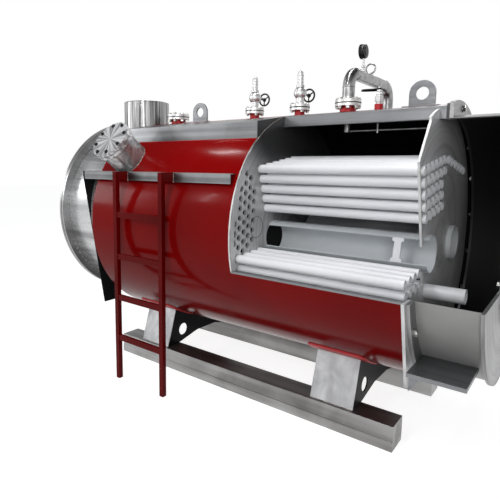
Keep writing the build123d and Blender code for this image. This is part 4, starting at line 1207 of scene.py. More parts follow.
@dataclass
class Shell:
    """The red pressure shell with its pads, lugs and seams."""

    seam_bead: float = 3.5 * MM
    seam_rise: float = 1.05 * MM
    seam_steps: int = 160
    lug_bead: float = 4 * MM
    lug_length: float = 145 * MM
    lug_thickness: float = 17 * MM
    lug_pad: float = 8 * MM
    pad_bead: float = 2 * MM
    pad_corner: float = 40 * MM
    pad_proud: float = 1 * MM
    corner_steps: int = 6
    wrap_step: float = 20 * MM

    def build(self, model: Model) -> None:
        """Dress the shell and run its seams.

        Args:
            model: The frame to build on.
        """
        finishes = model.finishes
        model.skin(finishes.shell_red, "shell")
        model.dress(finishes.web_black, "shell_end_plate")
        model.skin(finishes.red, "saddle_pad_rear", "saddle_pad_front")
        model.skin(finishes.frame, "lifting_lugs")
        wrapper = model.box("smokebox_shell")
        frame = aim(Vector((wrapper.high.x, wrapper.middle.y, wrapper.middle.z)), FORWARD)
        seam = circle(self.seam_steps, wrapper.size.z / 2 + self.seam_rise)
        model.weld("smokebox_seam", [[frame @ point for point in seam]], finishes.bead, self.seam_bead)
        self.lug_welds(model)
        self.pad_welds(model)

    def lug_welds(self, model: Model) -> None:
        """Run a fillet along each side of the lifting lugs, on their pads."""
        shell = model.box("shell")
        height = shell.high.z + self.lug_pad
        lines = []
        for lug in model.solids("lifting_lugs"):
            for side in (-1, 1):
                y = shell.middle.y + side * self.lug_thickness / 2
                ends = [lug.middle.x + end * self.lug_length / 2 for end in (-1, 1)]
                lines.append([Vector((x, y, height)) for x in ends])
        model.weld("lug_welds", lines, model.finishes.bead, self.lug_bead, closed=False)

    def pad_welds(self, model: Model) -> None:
        """Run a painted fillet round each saddle pad, on the shell's underside."""
        shell, corner = model.box("shell"), self.pad_corner
        lines = []
        for node in ("saddle_pad_rear", "saddle_pad_front"):
            pad = model.box(node)
            line = []
            for quarter, (sx, sy) in enumerate(((1, 1), (-1, 1), (-1, -1), (1, -1))):
                middle = (pad.middle.x + sx * (pad.size.x / 2 - corner), sy * (pad.size.y / 2 - corner))
                line += arc(middle, corner, 90.0 * quarter, 90.0 * (quarter + 1), self.corner_steps)
            lines.append(self.wrapped(line + line[:1], shell))
        model.weld("pad_welds", lines, model.finishes.red, self.pad_bead, closed=False)

    def wrapped(self, line: Profile, shell: Box) -> list[Vector]:
        """Lay a plan line on the shell's underside in short steps.

        Args:
            line: The line's points from above, with Y measured from the axis.
            shell: The shell's box.

        Returns:
            The points on the shell.
        """
        radius = shell.size.z / 2 + self.pad_proud
        points = []
        for (x1, y1), (x2, y2) in zip(line, line[1:]):
            steps = max(1, int(math.hypot(x2 - x1, y2 - y1) / self.wrap_step))
            for step in range(steps):
                x, y = x1 + (x2 - x1) * step / steps, y1 + (y2 - y1) * step / steps
                points.append(Vector((x, shell.middle.y + y, shell.middle.z - math.sqrt(radius**2 - y**2))))
        return points


@dataclass
class OpenedSide:
    """The bars that edge the opening, and the pipes under the crown."""

    edge_bead: float = 2.5 * MM
    edge_steps: int = 60
    bar_ease: float = 1.2 * MM

    def build(self, model: Model) -> None:
        """Dress the frame and weld it to the shell.

        Args:
            model: The frame to build on.
        """
        finishes = model.finishes
        model.skin(finishes.sheet, "cut_frame_ring")
        model.skin(finishes.frame, "cut_frame_top_bar", bevel=self.bar_ease)
        model.skin(finishes.frame, "cut_frame_sill")
        model.skin(finishes.pipe, "inner_pipes")
        ring, shell = model.box("cut_frame_ring"), model.box("shell")
        radius = shell.size.z / 2
        low = math.degrees(math.asin((ring.low.z - shell.middle.z) / radius))
        high = math.degrees(math.acos((shell.middle.y - ring.high.y) / radius))
        line = [Vector((ring.high.x, shell.middle.y - across, shell.middle.z + rise))
                for across, rise in arc((0.0, 0.0), radius, low, high, self.edge_steps)]
        model.weld("ring_weld", [line], finishes.bead, self.edge_bead, closed=False)


@dataclass
class TubeBundle:
    """The tube sheets, fire tubes and flues that the opening shows."""

    bead: float = 1.8 * MM
    bead_rise: float = 0.72 * MM
    stay_ease: float = 1 * MM
    scribe_radius: float = 66.5 * MM
    scribe_reach: float = 0.469
    scribe_rise: float = 0.0425
    scribe_line: float = 1.3 * MM
    flue_wall: float = 6 * MM
    # The depth, sink and eased edge of the black discs that close the flues, painted shade for the dark
    # chamber behind.
    plug: float = 4 * MM
    plug_sink: float = 2 * MM
    plug_edge: float = 1 * MM

    def build(self, model: Model) -> None:
        """Dress the bundle, ring each tube with its weld and close the flues' ends with black discs, painted
        shade for the dark chamber behind them.

        Args:
            model: The frame to build on.
        """
        finishes = model.finishes
        model.skin(finishes.sheet, "tube_sheet_rear")
        model.skin(finishes.edge_sheet, "tube_sheet_front")
        model.skin(finishes.tube, "tubes_upper", "tubes_lower", "stub_pipe")
        model.skin(finishes.flue, "flue_near", "flue_far")
        model.skin(finishes.tube, "flue_stay", bevel=self.stay_ease)
        rear, front = model.box("tube_sheet_rear"), model.box("tube_sheet_front")
        self.tube_welds(model, rear, front)
        middle = Vector((rear.high.x, rear.middle.y - self.scribe_reach, rear.middle.z + self.scribe_rise))
        mark = torus("scribed_circle", self.scribe_radius, self.scribe_line, 72, 6)
        model.piece("scribed_circle", placed(mark, aim(middle, FORWARD)), finishes.web_black)
        for side in ("near", "far"):
            # Painted shade: a black disc closes each flue at the rear sheet, where the chamber behind is
            # dark.
            flue = model.box("flue_" + side)
            radius = flue.size.z / 2 - self.flue_wall
            profile = [
                (0.0, -self.plug_sink), (radius, -self.plug_sink), (radius, self.plug - self.plug_edge),
                (radius - self.plug_edge, self.plug), (0.0, self.plug)]
            frame = aim(Vector((rear.high.x, flue.middle.y, flue.middle.z)), FORWARD)
            model.turned("flue_shade_disc_" + side, profile, finishes.gasket, frame)

    def tube_welds(self, model: Model, rear: Box, front: Box) -> None:
        """Lay a bead round each tube where it meets a sheet.

        Args:
            model: The frame to build on.
            rear: The rear tube sheet's box.
            front: The front tube sheet's box.
        """
        bead = model.finishes.bead
        rings = ring_recipe(bead.material())
        upper, lower = model.solids("tubes_upper"), model.solids("tubes_lower")
        sizes = {"Radius": upper[0].size.y / 2 + self.bead_rise, "Bead": self.bead}
        frame = Matrix.Rotation(math.radians(90), 4, "Y")
        sets = (("tube_welds_rear", rear, upper + lower), ("tube_welds_front", front, upper))
        for name, sheet, tubes in sets:
            middles = [Vector((sheet.high.x, tube.middle.y, tube.middle.z)) for tube in tubes]
            seeds = [frame.inverted() @ middle for middle in middles]
            made = rings.run(name, mesh_of(name, seeds, []), sizes)
            model.piece(name, placed(made, frame), bead)


@dataclass
class Smokebox:
    """The polished rear smokebox, its bolted end and the stack."""

    bolts: int = 96
    first_bolt: float = 6.0
    bolt_radius: float = 3.5 * MM
    bolt_circle_share: float = 0.935
    cover_depth: float = 20 * MM
    bead: float = 4 * MM
    bead_steps: int = 120
    rim_wire: float = 3.5 * MM
    rim_inset: float = 2.5 * MM
    rim_sink: float = 1 * MM

    def build(self, model: Model) -> None:
        """Dress the smokebox, bolt its end, weld its stack and roll the stack's rim.

        Args:
            model: The frame to build on.
        """
        finishes = model.finishes
        model.skin(finishes.smokebox, "smokebox_shell")
        model.skin(finishes.rim, "smokebox_cover", "smokebox_flange")
        model.skin(finishes.stack, "flue_stack")
        flange, cover = model.box("smokebox_flange"), model.box("smokebox_cover")
        face = flange.low.x - self.cover_depth
        frame = aim(Vector((face, cover.middle.y, cover.middle.z)), -FORWARD)
        places = circle(self.bolts, cover.size.z / 2 * self.bolt_circle_share, self.first_bolt)
        model.fasten("smokebox_bolts", places, frame, self.bolt_radius, flange.high.x - face)
        stack, wrapper = model.box("flue_stack"), model.box("smokebox_shell")
        radius = stack.size.x / 2
        foot = Vector((stack.middle.x, stack.middle.y, wrapper.middle.z))
        line = saddle(self.bead_steps, radius, wrapper.size.z / 2, foot, UP)
        model.weld("stack_weld", [line], finishes.bead, self.bead)
        rim = torus("stack_rim", radius - self.rim_inset, self.rim_wire, 72, 10)
        place = at(stack.middle.x, stack.middle.y, stack.high.z - self.rim_sink)
        model.piece("stack_rim", placed(rim, place), finishes.stack)


@dataclass
class Manhole:
    """The slanted manhole with its rayed cover and stud bolts."""

    bolts: int = 8
    first_bolt: float = 22.5
    bolt_radius: float = 6.5 * MM
    bolt_circle_share: float = 0.84
    bolt_sink: float = 2 * MM
    bolt_trim: float = 6 * MM
    neck_radius: float = 129 * MM
    neck_overlap: float = 1 * MM
    collar: float = 4 * MM
    bead: float = 4 * MM
    bead_steps: int = 90
    shell_overlap: float = 18 * MM

    def build(self, model: Model) -> None:
        """Dress the manhole, bolt it, weld it on and turn its neck.

        Args:
            model: The frame to build on.
        """
        finishes = model.finishes
        model.skin(finishes.star, "manhole_flange", "manhole_cover")
        cover, flange, shell = model.box("manhole_cover"), model.box("manhole_flange"), model.box("shell")
        foot = Vector((cover.middle.x, shell.middle.y, shell.middle.z))
        out = (cover.middle - foot).normalized()
        half = (cover.middle - flange.middle).length / 2
        frame = aim(cover.middle + out * (half - self.bolt_sink), out)
        places = circle(self.bolts, cover.size.x / 2 * self.bolt_circle_share, self.first_bolt)
        grip = half * 4 - self.bolt_trim
        model.fasten("manhole_bolts", places, frame, self.bolt_radius, grip, finishes.dark_bolt)
        line = saddle(self.bead_steps, self.neck_radius, shell.size.z / 2, foot, out)
        model.weld("manhole_weld", [line], finishes.bead, self.bead)
        low = shell.size.z / 2 - self.shell_overlap
        high = (flange.middle - foot).length - half + self.neck_overlap
        radius, step = self.neck_radius, self.collar
        profile = [
            (0.0, low), (radius, low), (radius, high - 5 * step), (radius + step, high - 4 * step),
            (radius + step, high - 3 * step), (radius, high - 2 * step), (radius, high), (0.0, high)]
        model.turned("manhole_neck_wall", profile, finishes.neck, aim(foot, out), 96, ("manhole_neck",))


@dataclass
class Nozzle:
    """One red neck on the crown with its bolted flange pair."""

    name: str
    neck: str
    flanges: str
    bolts: int
    bolt_radius: float
    pair_height: float = 42 * MM
    bolt_circle_share: float = 0.8
    edge: float = 1.5 * MM
    bead: float = 3 * MM
    bead_steps: int = 60
    gasket_rise: float = 0.8 * MM
    gasket_depth: float = 6 * MM
    hub: float = 0.0
    hub_steps: Points = ((12, 0), (4, 5))
    hub_taper: float = 2 * MM
    blank_face: Points = ((0.55, 0), (0.53, 2), (0, 2))
    flange_finish: Optional[Finish] = None

    def pair(self, model: Model, flanges: Box) -> None:
        """Turn the pair of flanges, with the upper one's hub or blank cover.

        Args:
            model: The frame to build on.
            flanges: The box of the node that the pair stands for.
        """
        radius, edge, top = flanges.size.x / 2, self.edge, self.pair_height
        gap = (top - self.gasket_depth) / 2
        lower = [(0.0, 0.0), (radius - edge, 0.0), (radius, edge), (radius, gap), (0.0, gap)]
        upper = [(0.0, top - gap), (radius, top - gap), (radius, top - edge), (radius - edge, top)]
        if self.hub:
            upper += [(self.hub + out * MM, top + rise * MM) for out, rise in self.hub_steps]
            upper += [(self.hub + self.hub_taper, flanges.size.z), (0.0, flanges.size.z)]
        else:
            upper += [(radius * share, top + rise * MM) for share, rise in self.blank_face]
        name = self.name + "_flange_pair"
        mesh = merged(name, [lathe(name, lower, 72), lathe(name, upper, 72)])
        place = at(flanges.middle.x, flanges.middle.y, flanges.low.z)
        model.piece(name, placed(mesh, place), self.flange_finish, (self.flanges,))

    def build(self, model: Model) -> None:
        """Dress the nozzle, bolt its flanges and weld its neck.

        Args:
            model: The frame to build on.
        """
        finishes = model.finishes
        model.skin(finishes.red, self.neck)
        neck, flanges, shell = model.box(self.neck), model.box(self.flanges), model.box("shell")
        radius = flanges.size.x / 2
        if self.flange_finish is not None:
            self.pair(model, flanges)
        x, y, low = neck.middle.x, neck.middle.y, flanges.low.z
        places = circle(self.bolts, radius * self.bolt_circle_share, 180.0 / self.bolts)
        head = at(x, y, low + self.pair_height)
        model.fasten(self.name + "_bolts", places, head, self.bolt_radius, self.pair_height)
        outer, half = radius + self.gasket_rise, self.gasket_depth / 2
        seal = [(0.0, -half), (outer, -half), (outer, half), (0.0, half)]
        seam = at(x, y, low + self.pair_height / 2)
        model.turned(self.name + "_gasket", seal, finishes.gasket, seam, 64)
        neck_radius, steps = neck.size.x / 2, self.bead_steps
        foot = saddle(steps, neck_radius, shell.size.z / 2, Vector((x, y, shell.middle.z)), UP)
        top = [at(x, y, low) @ point for point in circle(steps, neck_radius)]
        model.weld(self.name + "_welds", [foot, top], finishes.red, self.bead)


@dataclass
class GateValve:
    """A silver valve turned about its upright axis, with its side gland, sized in millimetres."""

    name: str
    flange_height: float = 19.5
    gasket: float = 3.0
    edge: float = 1.5
    waist: float = 26.0
    throat: Points = ((7, 0), (2, 5), (0, 12))
    bulb: float = 43.0
    bulb_sweep: tuple[float, float] = (-50.0, 52.0)
    bonnet: float = 20.0
    collar_rise: float = 38.0
    collar: Points = ((0, -2), (7, 0), (7, 6), (4.5, 7.5), (7, 9), (7, 15), (1, 17))
    ring_rises: tuple[float, ...] = (68.0, 90.0, 112.0)
    ring: Points = ((0, 0), (1.5, 1.5), (1.5, 5), (0, 6.5))
    tip: Points = ((20, -14), (17, -9), (11, -8), (10, -2), (7, 0), (0, 0))
    gland: Points = (
        (0, 20), (20, 20), (20, 44), (17, 46), (17, 50), (15, 51), (15, 65), (13, 66), (8.2, 66), (8.2, 47),
        (0, 47))

    def build(self, model: Model) -> None:
        """Make the valve in place of its plain solid.

        Args:
            model: The frame to build on.
        """
        node = "valve_" + self.name
        box, wheel = model.box(node), model.box("handwheel_" + self.name)
        flange, centre = box.size.x / 2 / MM, (wheel.middle.z - box.low.z) / MM
        low = self.flange_height + self.gasket
        pair = low + self.flange_height
        lower = disc(flange, 0.0, self.flange_height, self.edge)
        upper = disc(flange, low, pair, self.edge)[:-1]
        upper += shifted(self.throat, self.waist, pair)
        upper += arc((0.0, centre), self.bulb, *self.bulb_sweep, 14)
        upper += shifted(self.collar, self.bonnet, centre + self.collar_rise)
        for rise in self.ring_rises:
            upper += shifted(self.ring, self.bonnet, centre + rise)
        upper += shifted(self.tip, 0.0, box.size.z / MM)
        place = at(box.middle.x, box.middle.y, box.low.z)
        meshes = [placed(lathe(node, in_metres(profile), 64), place) for profile in (lower, upper)]
        side = aim(Vector((box.middle.x, box.middle.y, wheel.middle.z)), FAR)
        meshes.append(placed(lathe(node, in_metres(self.gland), 6), side))
        model.piece(node + "_body", merged(node + "_body", meshes), model.finishes.cast, (node,))


@dataclass
class Handwheel:
    """A black handwheel with three dished spokes, which turns with its stem."""

    name: str
    wire: float = 6.2 * MM
    rim_depth: float = 8 * MM
    hub: Points = ((0, -9), (11.5, -9), (13.5, -6), (13.5, 5), (10.5, 7), (0, 7))
    nut: Points = ((0, 5), (8.5, 5), (8.5, 7.5), (7, 8), (0, 8))
    stem: float = 6.8 * MM
    stem_end: float = 8 * MM
    spokes: int = 3
    spoke_start: float = 9.45 * MM
    spoke_bite: float = 7.44 * MM
    spoke_radius: float = 6.4 * MM
    spoke_waist: float = 0.25
    spoke_flat: float = 0.7
    spoke_steps: int = 8
    first_spoke: float = 30.0
    dish: float = 3 * MM

    def build(self, model: Model) -> None:
        """Make the wheel in place of its plain solid.

        Args:
            model: The frame to build on.
        """
        node = "handwheel_" + self.name
        box = model.box(node)
        rim_radius, plane = box.size.x / 2, box.high.y - self.rim_depth
        low, high = box.low.y - plane, -self.stem_end
        stem = [(0.0, low), (self.stem, low), (self.stem, high), (0.0, high)]
        meshes = [
            torus(node, rim_radius - self.wire, self.wire, 72, 16), lathe(node, in_metres(self.hub), 40),
            lathe(node, in_metres(self.nut), 6), lathe(node, stem, 24)]
        for run in circle(self.spokes, 1.0, self.first_spoke):
            meshes.append(self.spoke(node, run, rim_radius - self.spoke_bite))
        frame = aim(Vector((box.middle.x, plane, box.middle.z)), FAR)
        wheel = merged(node + "_wheel", [placed(mesh, frame) for mesh in meshes])
        model.piece(node + "_wheel", wheel, model.finishes.black, (node,), node)

    def spoke(self, name: str, run: Vector, reach: float) -> bpy.types.Mesh:
        """Return one dished spoke from the hub to the rim.

        Args:
            name: The mesh's name.
            run: The spoke's direction.
            reach: How far from the middle it ends.

        Returns:
            The spoke's mesh.
        """
        route, radii = [], []
        for step in range(self.spoke_steps + 1):
            share = step / self.spoke_steps
            swell = math.sin(math.pi * share)
            out = self.spoke_start + (reach - self.spoke_start) * share
            route.append(run * out - UP * (self.dish * swell**2))
            radii.append(self.spoke_radius * (1 - self.spoke_waist * swell))
        return bar(name, route, radii, 12, self.spoke_flat)


@dataclass
class BalancePipe:
    """The bent silver pipe with its weld collars, gauge and syphon loop."""

    collar: float = 2.2 * MM
    collar_steps: int = 48
    foot: float = 2 * MM
    bend: float = 95 * MM
    loop_sink: float = 1 * MM
    loop_wire: float = 5.5 * MM
    ticks: int = 25
    tick_inset: float = 11 * MM
    tick_length: float = 5 * MM
    tick_width: float = 1.2 * MM
    dial_sweep: float = 270.0
    pointer_rise: float = 0.8 * MM
    pointer_tail: float = 8 * MM
    pointer_inset: float = 14 * MM
    pointer_radii: tuple[float, ...] = (1.6 * MM, 2.2 * MM, 0.5 * MM)
    case_back: Points = ((0, 1), (0.55, 1), (0.6, 4), (0.9, 6), (0.96, 12))
    bezel: Points = ((0, -11), (0, -1), (-1, 0), (-5, 0), (-6, -4))
    stem: Points = ((0, 0), (13, 0), (13, 12), (8, 14), (8, 24), (14.5, 25), (14.5, 38), (7, 40))

    def build(self, model: Model) -> None:
        """Dress the pipe and make its fittings.

        Args:
            model: The frame to build on.
        """
        finish = model.finishes.pipe
        model.skin(finish, "balance_pipe")
        pipe = model.box("balance_pipe")
        radius = pipe.size.x / 2
        run_height = pipe.high.z - radius
        near, far, bend = pipe.low.y + radius, pipe.high.y - radius, self.bend
        joints = [
            (near, pipe.low.z + self.foot, UP), (near, run_height - bend, UP), (near + bend, run_height, FAR),
            (far - bend, run_height, FAR), (far, run_height - bend, UP)]
        ring = circle(self.collar_steps, radius)
        frames = [aim(Vector((pipe.middle.x, y, z)), axis) for y, z, axis in joints]
        lines = [[frame @ point for point in ring] for frame in frames]
        model.weld("pipe_welds", lines, finish, self.collar)
        self.gauge(model)
        self.syphon(model)

    def gauge(self, model: Model) -> None:
        """Make the round gauge: case, bezel, dial, ticks, pointer and stem."""
        box, finishes = model.box("pressure_gauge"), model.finishes
        radius, half = box.size.y / 2, box.size.x / 2
        middle = Vector((box.middle.x, box.middle.y, box.high.z - radius))
        wide, deep = radius / MM, half / MM
        case = [(wide * share, rise - deep) for share, rise in self.case_back]
        case.append((case[-1][0], deep - self.case_back[-1][1]))
        case += shifted(self.bezel, wide, deep) + [(0.0, deep - 4)]
        facing = aim(middle, -FORWARD)
        model.turned("gauge_case", in_metres(case), finishes.black, facing, 72, ("pressure_gauge",))
        dial = [(0, -3.8), (wide - 6.2, -3.8), (wide - 6.2, -3.2), (0, -3.2)]
        model.turned("gauge_dial", in_metres(shifted(dial, 0.0, deep)), finishes.white, facing, 72)
        face = facing @ at(0.0, 0.0, half - 3 * MM)
        marks = tick_recipe(finishes.gasket.material())
        step = math.radians(self.dial_sweep) / (self.ticks - 1)
        sizes = {
            "Radius": radius - self.tick_inset, "Length": self.tick_length, "Width": self.tick_width,
            "Step": step}
        row = mesh_of("gauge_ticks", [Vector((0, 0, 0))] * self.ticks, [])
        model.piece("gauge_ticks", placed(marks.run("gauge_ticks", row, sizes), face), finishes.gasket)
        reaches = (-self.pointer_tail, 0.0, radius - self.pointer_inset)
        route = [Vector((reach, 0, self.pointer_rise)) for reach in reaches]
        pointer = bar("gauge_pointer", route, self.pointer_radii, 8, 0.3)
        model.piece("gauge_pointer", placed(pointer, face), finishes.gasket)
        top = (middle.z - radius) / MM + 4
        stem = shifted(self.stem, 0.0, box.low.z / MM) + [(7, top), (0, top)]
        model.turned("gauge_stem", in_metres(stem), finishes.cast, at(middle.x, middle.y, 0.0), 6)

    def syphon(self, model: Model) -> None:
        """Make the small tube loop and its leg."""
        box, wire = model.box("syphon_loop"), self.loop_wire
        radius = box.size.x / 2
        middle = model.box("balance_pipe").high.z + radius - self.loop_sink
        x, y = box.middle.x, box.middle.y
        loop = placed(torus("syphon", radius - wire, wire, 64, 14), aim(Vector((x, y, middle)), FAR))
        low, high = box.low.z / MM, (middle - radius + wire) / MM
        leg = [(0, low), (11, low), (11, high - 4), (8, high - 1), (8, high), (0, high)]
        stem = placed(lathe("syphon", in_metres(leg), 24), at(x, y, 0.0))
        tube = merged("syphon_tube", [loop, stem])
        model.piece("syphon_tube", tube, model.finishes.pipe, ("syphon_loop",))


@dataclass
class BallValve:
    """The small ball valve with its black lever."""

    grip_share: float = 0.8
    collar_rises: tuple[float, ...] = (6 * MM, 55 * MM)
    collar_radius: float = 16.5 * MM
    collar_wire: float = 2.2 * MM
    sleeve_rise: float = 3 * MM
    sleeve_flat: float = 0.72
    sleeve: tuple[tuple[float, float, float], ...] = (
        (0.0, 3.0, 6.5), (0.03, 3.0, 9.5), (0.2, 2.5, 11.5), (0.5, 1.0, 12.0), (0.8, 0.0, 12.5),
        (0.97, 0.0, 12.0), (1.0, 0.0, 9.0))

    def build(self, model: Model) -> None:
        """Dress the valve and sleeve its lever.

        Args:
            model: The frame to build on.
        """
        finishes = model.finishes
        model.skin(finishes.red, "ball_valve_neck")
        model.skin(finishes.cast, "ball_valve")
        model.skin(finishes.black, "valve_lever")
        valve, lever = model.box("ball_valve"), model.box("valve_lever")
        for number, rise in enumerate(self.collar_rises, 1):
            name = f"ball_valve_collar_{number}"
            collar = torus(name, self.collar_radius, self.collar_wire, 40, 8)
            place = at(valve.middle.x, valve.middle.y, valve.low.z + rise)
            model.piece(name, placed(collar, place), finishes.cast)
        length, height = lever.size.x * self.grip_share, lever.low.z + self.sleeve_rise
        route = [Vector((lever.low.x + length * share, lever.middle.y, height + rise * MM))
                 for share, rise, _ in self.sleeve]
        girths = [girth * MM for _, _, girth in self.sleeve]
        sleeve = bar("lever_sleeve", route, girths, 20, self.sleeve_flat)
        model.piece("lever_sleeve", sleeve, finishes.gasket, body="valve_lever")


@dataclass
class Walkway:
    """The low step of sheet along each side of the crown, and the platform below it."""

    bead: float = 2.5 * MM

    def build(self, model: Model) -> None:
        """Dress the sheets and weld them to the shell.

        Args:
            model: The frame to build on.
        """
        finishes = model.finishes
        model.skin(finishes.fascia, "walk_fascia_near", "walk_fascia_far")
        model.skin(finishes.fascia, "walk_cover_near", "walk_cover_far")
        model.skin(finishes.sheet, "walk_end_plate")
        model.skin(finishes.platform, "platform")
        model.skin(finishes.web_black, "platform_end_plate")
        fascia = model.box("walk_fascia_near")
        ends = [Vector((x, fascia.low.y, fascia.low.z)) for x in (fascia.low.x, fascia.high.x)]
        model.weld("walk_weld", [ends], finishes.red, self.bead, closed=False)


@dataclass
class Ladder:
    """The red ladder, with its edges eased and its rungs welded in."""

    ease: float = 1.5 * MM
    bead: float = 2.2 * MM
    stile_depth: float = 32 * MM
    arm_depth: float = 66 * MM
    arm_taper: float = 6 * MM
    arm_proud: float = 0.5 * MM
    arm_overlap: float = 1 * MM

    def build(self, model: Model) -> None:
        """Dress the ladder and weld its rungs.

        Args:
            model: The frame to build on.
        """
        # The ladder's darker red is painted shade.
        finish = model.finishes.ladder_red_painted_shade
        model.skin(finish, "ladder_stile_rear", "ladder_stile_front", "ladder_rungs", bevel=self.ease)
        lines = []
        for rung in model.solids("ladder_rungs"):
            low, high = rung.low, rung.high
            corners = ((low.y, low.z), (high.y, low.z), (high.y, high.z), (low.y, high.z))
            lines += [[Vector((x, y, z)) for y, z in corners] for x in (low.x, high.x)]
        model.weld("rung_welds", lines, finish, self.bead)
        for side in ("rear", "front"):
            self.arm(model, side)

    def arm(self, model: Model, side: str) -> None:
        """Add the deep plate that ties a stile's head to the platform's fascia.

        Args:
            model: The frame to build on.
            side: Which of the two stiles it is.
        """
        stile, platform = model.box("ladder_stile_" + side), model.box("platform")
        name, middle = "ladder_arm_" + side, stile.middle.x
        front = stile.low.y + self.stile_depth - self.arm_overlap
        back = platform.low.y + self.arm_overlap
        high, low = stile.high.z + self.arm_proud, stile.high.z - self.arm_depth
        half = stile.size.x / 2 + self.arm_proud
        outline = [(front, low + self.arm_taper), (back, low), (back, high), (front, high)]
        points = [Vector((middle + x, y, z)) for x in (-half, half) for y, z in outline]
        count = len(outline)
        faces: list[Sequence[int]] = [tuple(range(count)), tuple(range(count, 2 * count))]
        faces += [(n, (n + 1) % count, (n + 1) % count + count, n + count) for n in range(count)]
        mesh = smooth(outward(mesh_of(name, points, faces)), 20.0)
        ease(model.piece(name, mesh, model.finishes.ladder_red_painted_shade), self.ease)
        run = [Vector((middle + half + self.arm_proud, back, z)) for z in (low, high)]
        model.weld(name + "_weld", [run], model.finishes.bead, self.bead, closed=False)


@dataclass
class Skids:
    """The skids, the saddles' sloping plates and their black webs."""

    ease: float = 2 * MM
    plate_ease: float = 1.5 * MM
    bead: float = 3.5 * MM

    def build(self, model: Model) -> None:
        """Dress the skids and saddles and weld them.

        Args:
            model: The frame to build on.
        """
        finishes = model.finishes
        model.skin(finishes.skid, "skid_near", bevel=self.ease)
        model.skin(finishes.skid, "skid_far")
        model.skin(finishes.ground, "saddle_plates", bevel=self.plate_ease)
        model.skin(finishes.web_black, "saddle_webs")
        height, axis = model.box("skid_near").high.z, model.box("shell").middle.y
        lines = []
        for plate in model.solids("saddle_plates"):
            outside = plate.low.y if plate.middle.y < axis else plate.high.y
            lines.append([Vector((x, outside, height)) for x in (plate.low.x, plate.high.x)])
        model.weld("saddle_welds", lines, finishes.bead, self.bead, closed=False)


@dataclass
class FrontEnd:
    """The frame plate, drum and bolted cover ahead of the front tube sheet."""

    bolts: int = 18
    bolt_radius: float = 9.5 * MM
    first_bolt: float = 8.0
    sill_margin: float = 10 * MM
    shelf_ease: float = 1 * MM
    burner_bolts: int = 8
    burner_share: float = 0.84
    first_burner_bolt: float = 22.5

    def build(self, model: Model) -> None:
        """Dress the front end and bolt its flanges.

        Args:
            model: The frame to build on.
        """
        finishes = model.finishes
        model.skin(finishes.sheet, "front_plate")
        model.skin(finishes.cover, "drum_flange")
        model.skin(finishes.drum, "drum")
        model.skin(finishes.cover, "front_cover", "burner_flange")
        model.skin(finishes.frame, "front_shelf", bevel=self.shelf_ease)
        flange, plate, drum = model.box("drum_flange"), model.box("front_plate"), model.box("drum")
        axis = model.box("shell").middle
        frame = aim(Vector((flange.high.x, axis.y, axis.z)), FORWARD)
        sill = model.box("cut_frame_sill").high.z - self.sill_margin
        edge = model.box("cut_frame_top_bar").high.y
        places = []
        for point in circle(self.bolts, (flange.size.z + drum.size.z) / 4, self.first_bolt):
            world = frame @ point
            if world.z <= sill or world.y >= edge:
                places.append(point)
        model.fasten("drum_flange_bolts", places, frame, self.bolt_radius, flange.high.x - plate.low.x)
        burner = model.box("burner_flange")
        frame = aim(Vector((burner.high.x, burner.middle.y, burner.middle.z)), FORWARD)
        places = circle(self.burner_bolts, burner.size.z / 2 * self.burner_share, self.first_burner_bolt)
        grip = burner.high.x - model.box("front_cover").low.x
        model.fasten("burner_bolts", places, frame, self.bolt_radius, grip)


# Camera, light and floor

@dataclass(frozen=True)
class Lamp:
    """One soft lamp: its place, what it points at, its length and width, and its power in watts."""

    name: str
    place: tuple[float, float, float]
    size: tuple[float, float]
    power: float
    target: tuple[float, float, float] = (0.2, -0.2, 1.1)

    def hang(self) -> None:
        """Add the lamp to the scene."""
        data = bpy.data.lights.new(self.name, "AREA")
        data.shape = "RECTANGLE"
        data.size, data.size_y = self.size
        data.energy = self.power
        lamp = bpy.data.objects.new(self.name, data)
        place = Vector(self.place)
        turn = (place - Vector(self.target)).to_track_quat("Z", "X")
        lamp.matrix_world = Matrix.Translation(place) @ turn.to_matrix().to_4x4()
        bpy.context.scene.collection.objects.link(lamp)


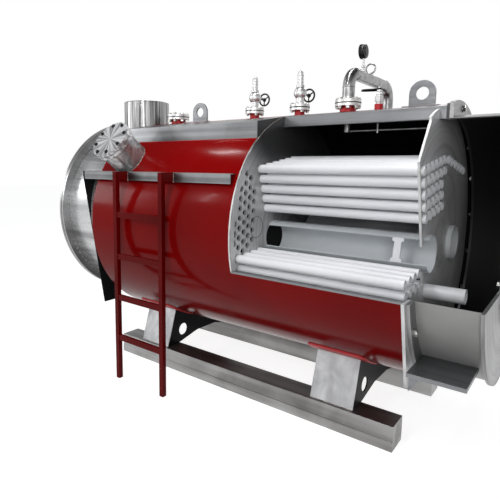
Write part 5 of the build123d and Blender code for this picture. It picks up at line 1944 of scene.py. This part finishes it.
@dataclass
class Studio:
    """The photograph's view, plain soft lamps and a pale floor."""

    place: Vector = field(default_factory=lambda: Vector((1.8135, -2.7972, 1.506)))
    yaw: float = 0.669
    pitch: float = 0.129
    roll: float = 0.009
    lens: float = 33.264
    sensor: float = 36.0
    shift: tuple[float, float] = (0.059, -0.0468)
    reach: float = 200.0
    floor_size: float = 60.0
    floor_colour: Colour = (0.5, 0.5, 0.5)
    floor_lift: Colour = (0.85, 0.85, 0.85)
    floor_roughness: float = 0.8
    ceiling: tuple[float, float] = (0.34, 0.7)
    wall_colour: Colour = (1.0, 1.0, 1.0)
    ceiling_colour: Colour = (0.05, 0.05, 0.055)
    ambient: Colour = (0.26, 0.263, 0.27)
    lamps: tuple[Lamp, ...] = (
        Lamp("ceiling_near", (0.3, -2.3, 4.3), (7.0, 0.1), 84.0),
        Lamp("ceiling_far", (0.2, 0.6, 4.6), (7.0, 0.2), 60.0),
        Lamp("fill", (3.6, -6.0, 2.6), (3.0, 2.0), 90.0),
        Lamp("window", (-5.5, -3.5, 2.8), (1.5, 2.0), 60.0),
        Lamp("spot_high", (-1.39, -0.7, 3.49), (0.32, 0.1), 6.0, (0.07, -0.53, 1.6)),
        Lamp("spot_low", (-1.9, -2.7, 2.5), (0.45, 0.06), 4.0, (0.0, -0.67, 1.34)),
    )

    def build(self) -> None:
        """Set the camera, the world, the floor and the lamps."""
        self.camera()
        self.world()
        self.floor()
        for lamp in self.lamps:
            lamp.hang()
        bpy.context.scene.view_settings.view_transform = "Standard"

    def camera(self) -> None:
        """Create the camera at the photograph's place and angle."""
        forward = Vector((
            -math.sin(self.yaw) * math.cos(self.pitch), math.cos(self.yaw) * math.cos(self.pitch),
            -math.sin(self.pitch)))
        level = Vector((math.cos(self.yaw), math.sin(self.yaw), 0.0))
        right = level * math.cos(self.roll) + level.cross(forward) * math.sin(self.roll)
        turn = Matrix((right, right.cross(forward), -forward)).transposed()
        data = bpy.data.cameras.new("camera")
        data.sensor_width = self.sensor
        data.lens = self.lens
        data.shift_x, data.shift_y = self.shift
        data.clip_end = self.reach
        camera = bpy.data.objects.new("camera", data)
        camera.matrix_world = Matrix.Translation(self.place) @ turn.to_4x4()
        bpy.context.scene.collection.objects.link(camera)
        bpy.context.scene.camera = camera

    def world(self) -> None:
        """Light the scene softly, with white walls all round and a dark ceiling to reflect."""
        sky = Sky("studio")
        room = sky.blend(sky.height().between(*self.ceiling), self.wall_colour, self.ceiling_colour)
        sky.light(sky.blend(sky.seen(), self.ambient, room))
        bpy.context.scene.world = sky.world

    def floor(self) -> None:
        """Lay the pale floor, which shows white and keeps the object's shadow."""
        shader = Shader("floor_white")
        shader.surface({
            "Base Color": (*self.floor_colour, 1.0),
            "Roughness": self.floor_roughness,
            "Specular IOR Level": 0.0,
            "Emission Color": shader.blend(shader.seen(), (0.0, 0.0, 0.0), self.floor_lift),
            "Emission Strength": 1.0,
        })
        half = self.floor_size / 2
        plan = ((-half, -half), (half, -half), (half, half), (-half, half))
        corners = [Vector((x, y, 0.0)) for x, y in plan]
        floor = bpy.data.objects.new("floor", mesh_of("floor", corners, [(0, 1, 2, 3)]))
        floor.data.materials.append(shader.material)
        bpy.context.scene.collection.objects.link(floor)
        floor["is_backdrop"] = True


def main() -> None:
    """Build every sub-assembly in order and report what was made."""
    logging.basicConfig(level=logging.INFO, format="%(name)s: %(message)s")
    model = Model()
    cast = model.finishes.cast
    Studio().build()
    parts = [
        Shell(), OpenedSide(), TubeBundle(), Smokebox(), Manhole(),
        Nozzle("blind", "blind_neck", "blind_flanges", 8, 8 * MM, flange_finish=cast),
        Nozzle("steam", "steam_nozzle", "steam_flanges", 8, 7.5 * MM, hub=38 * MM, flange_finish=cast),
        Nozzle("valve_rear", "valve_nozzle_rear", "valve_rear", 4, 6.5 * MM),
        Nozzle("valve_front", "valve_nozzle_front", "valve_front", 4, 6.5 * MM),
        GateValve("rear"), GateValve("front"), Handwheel("rear"), Handwheel("front"),
        BalancePipe(), BallValve(), Walkway(), Ladder(), Skids(), FrontEnd(),
    ]
    for part in parts:
        part.build(model)
        LOG.info("built %s", type(part).__name__)
    LOG.info("nodes left undressed: %s", sorted(model.undressed))


if __name__ == "__main__":
    main()
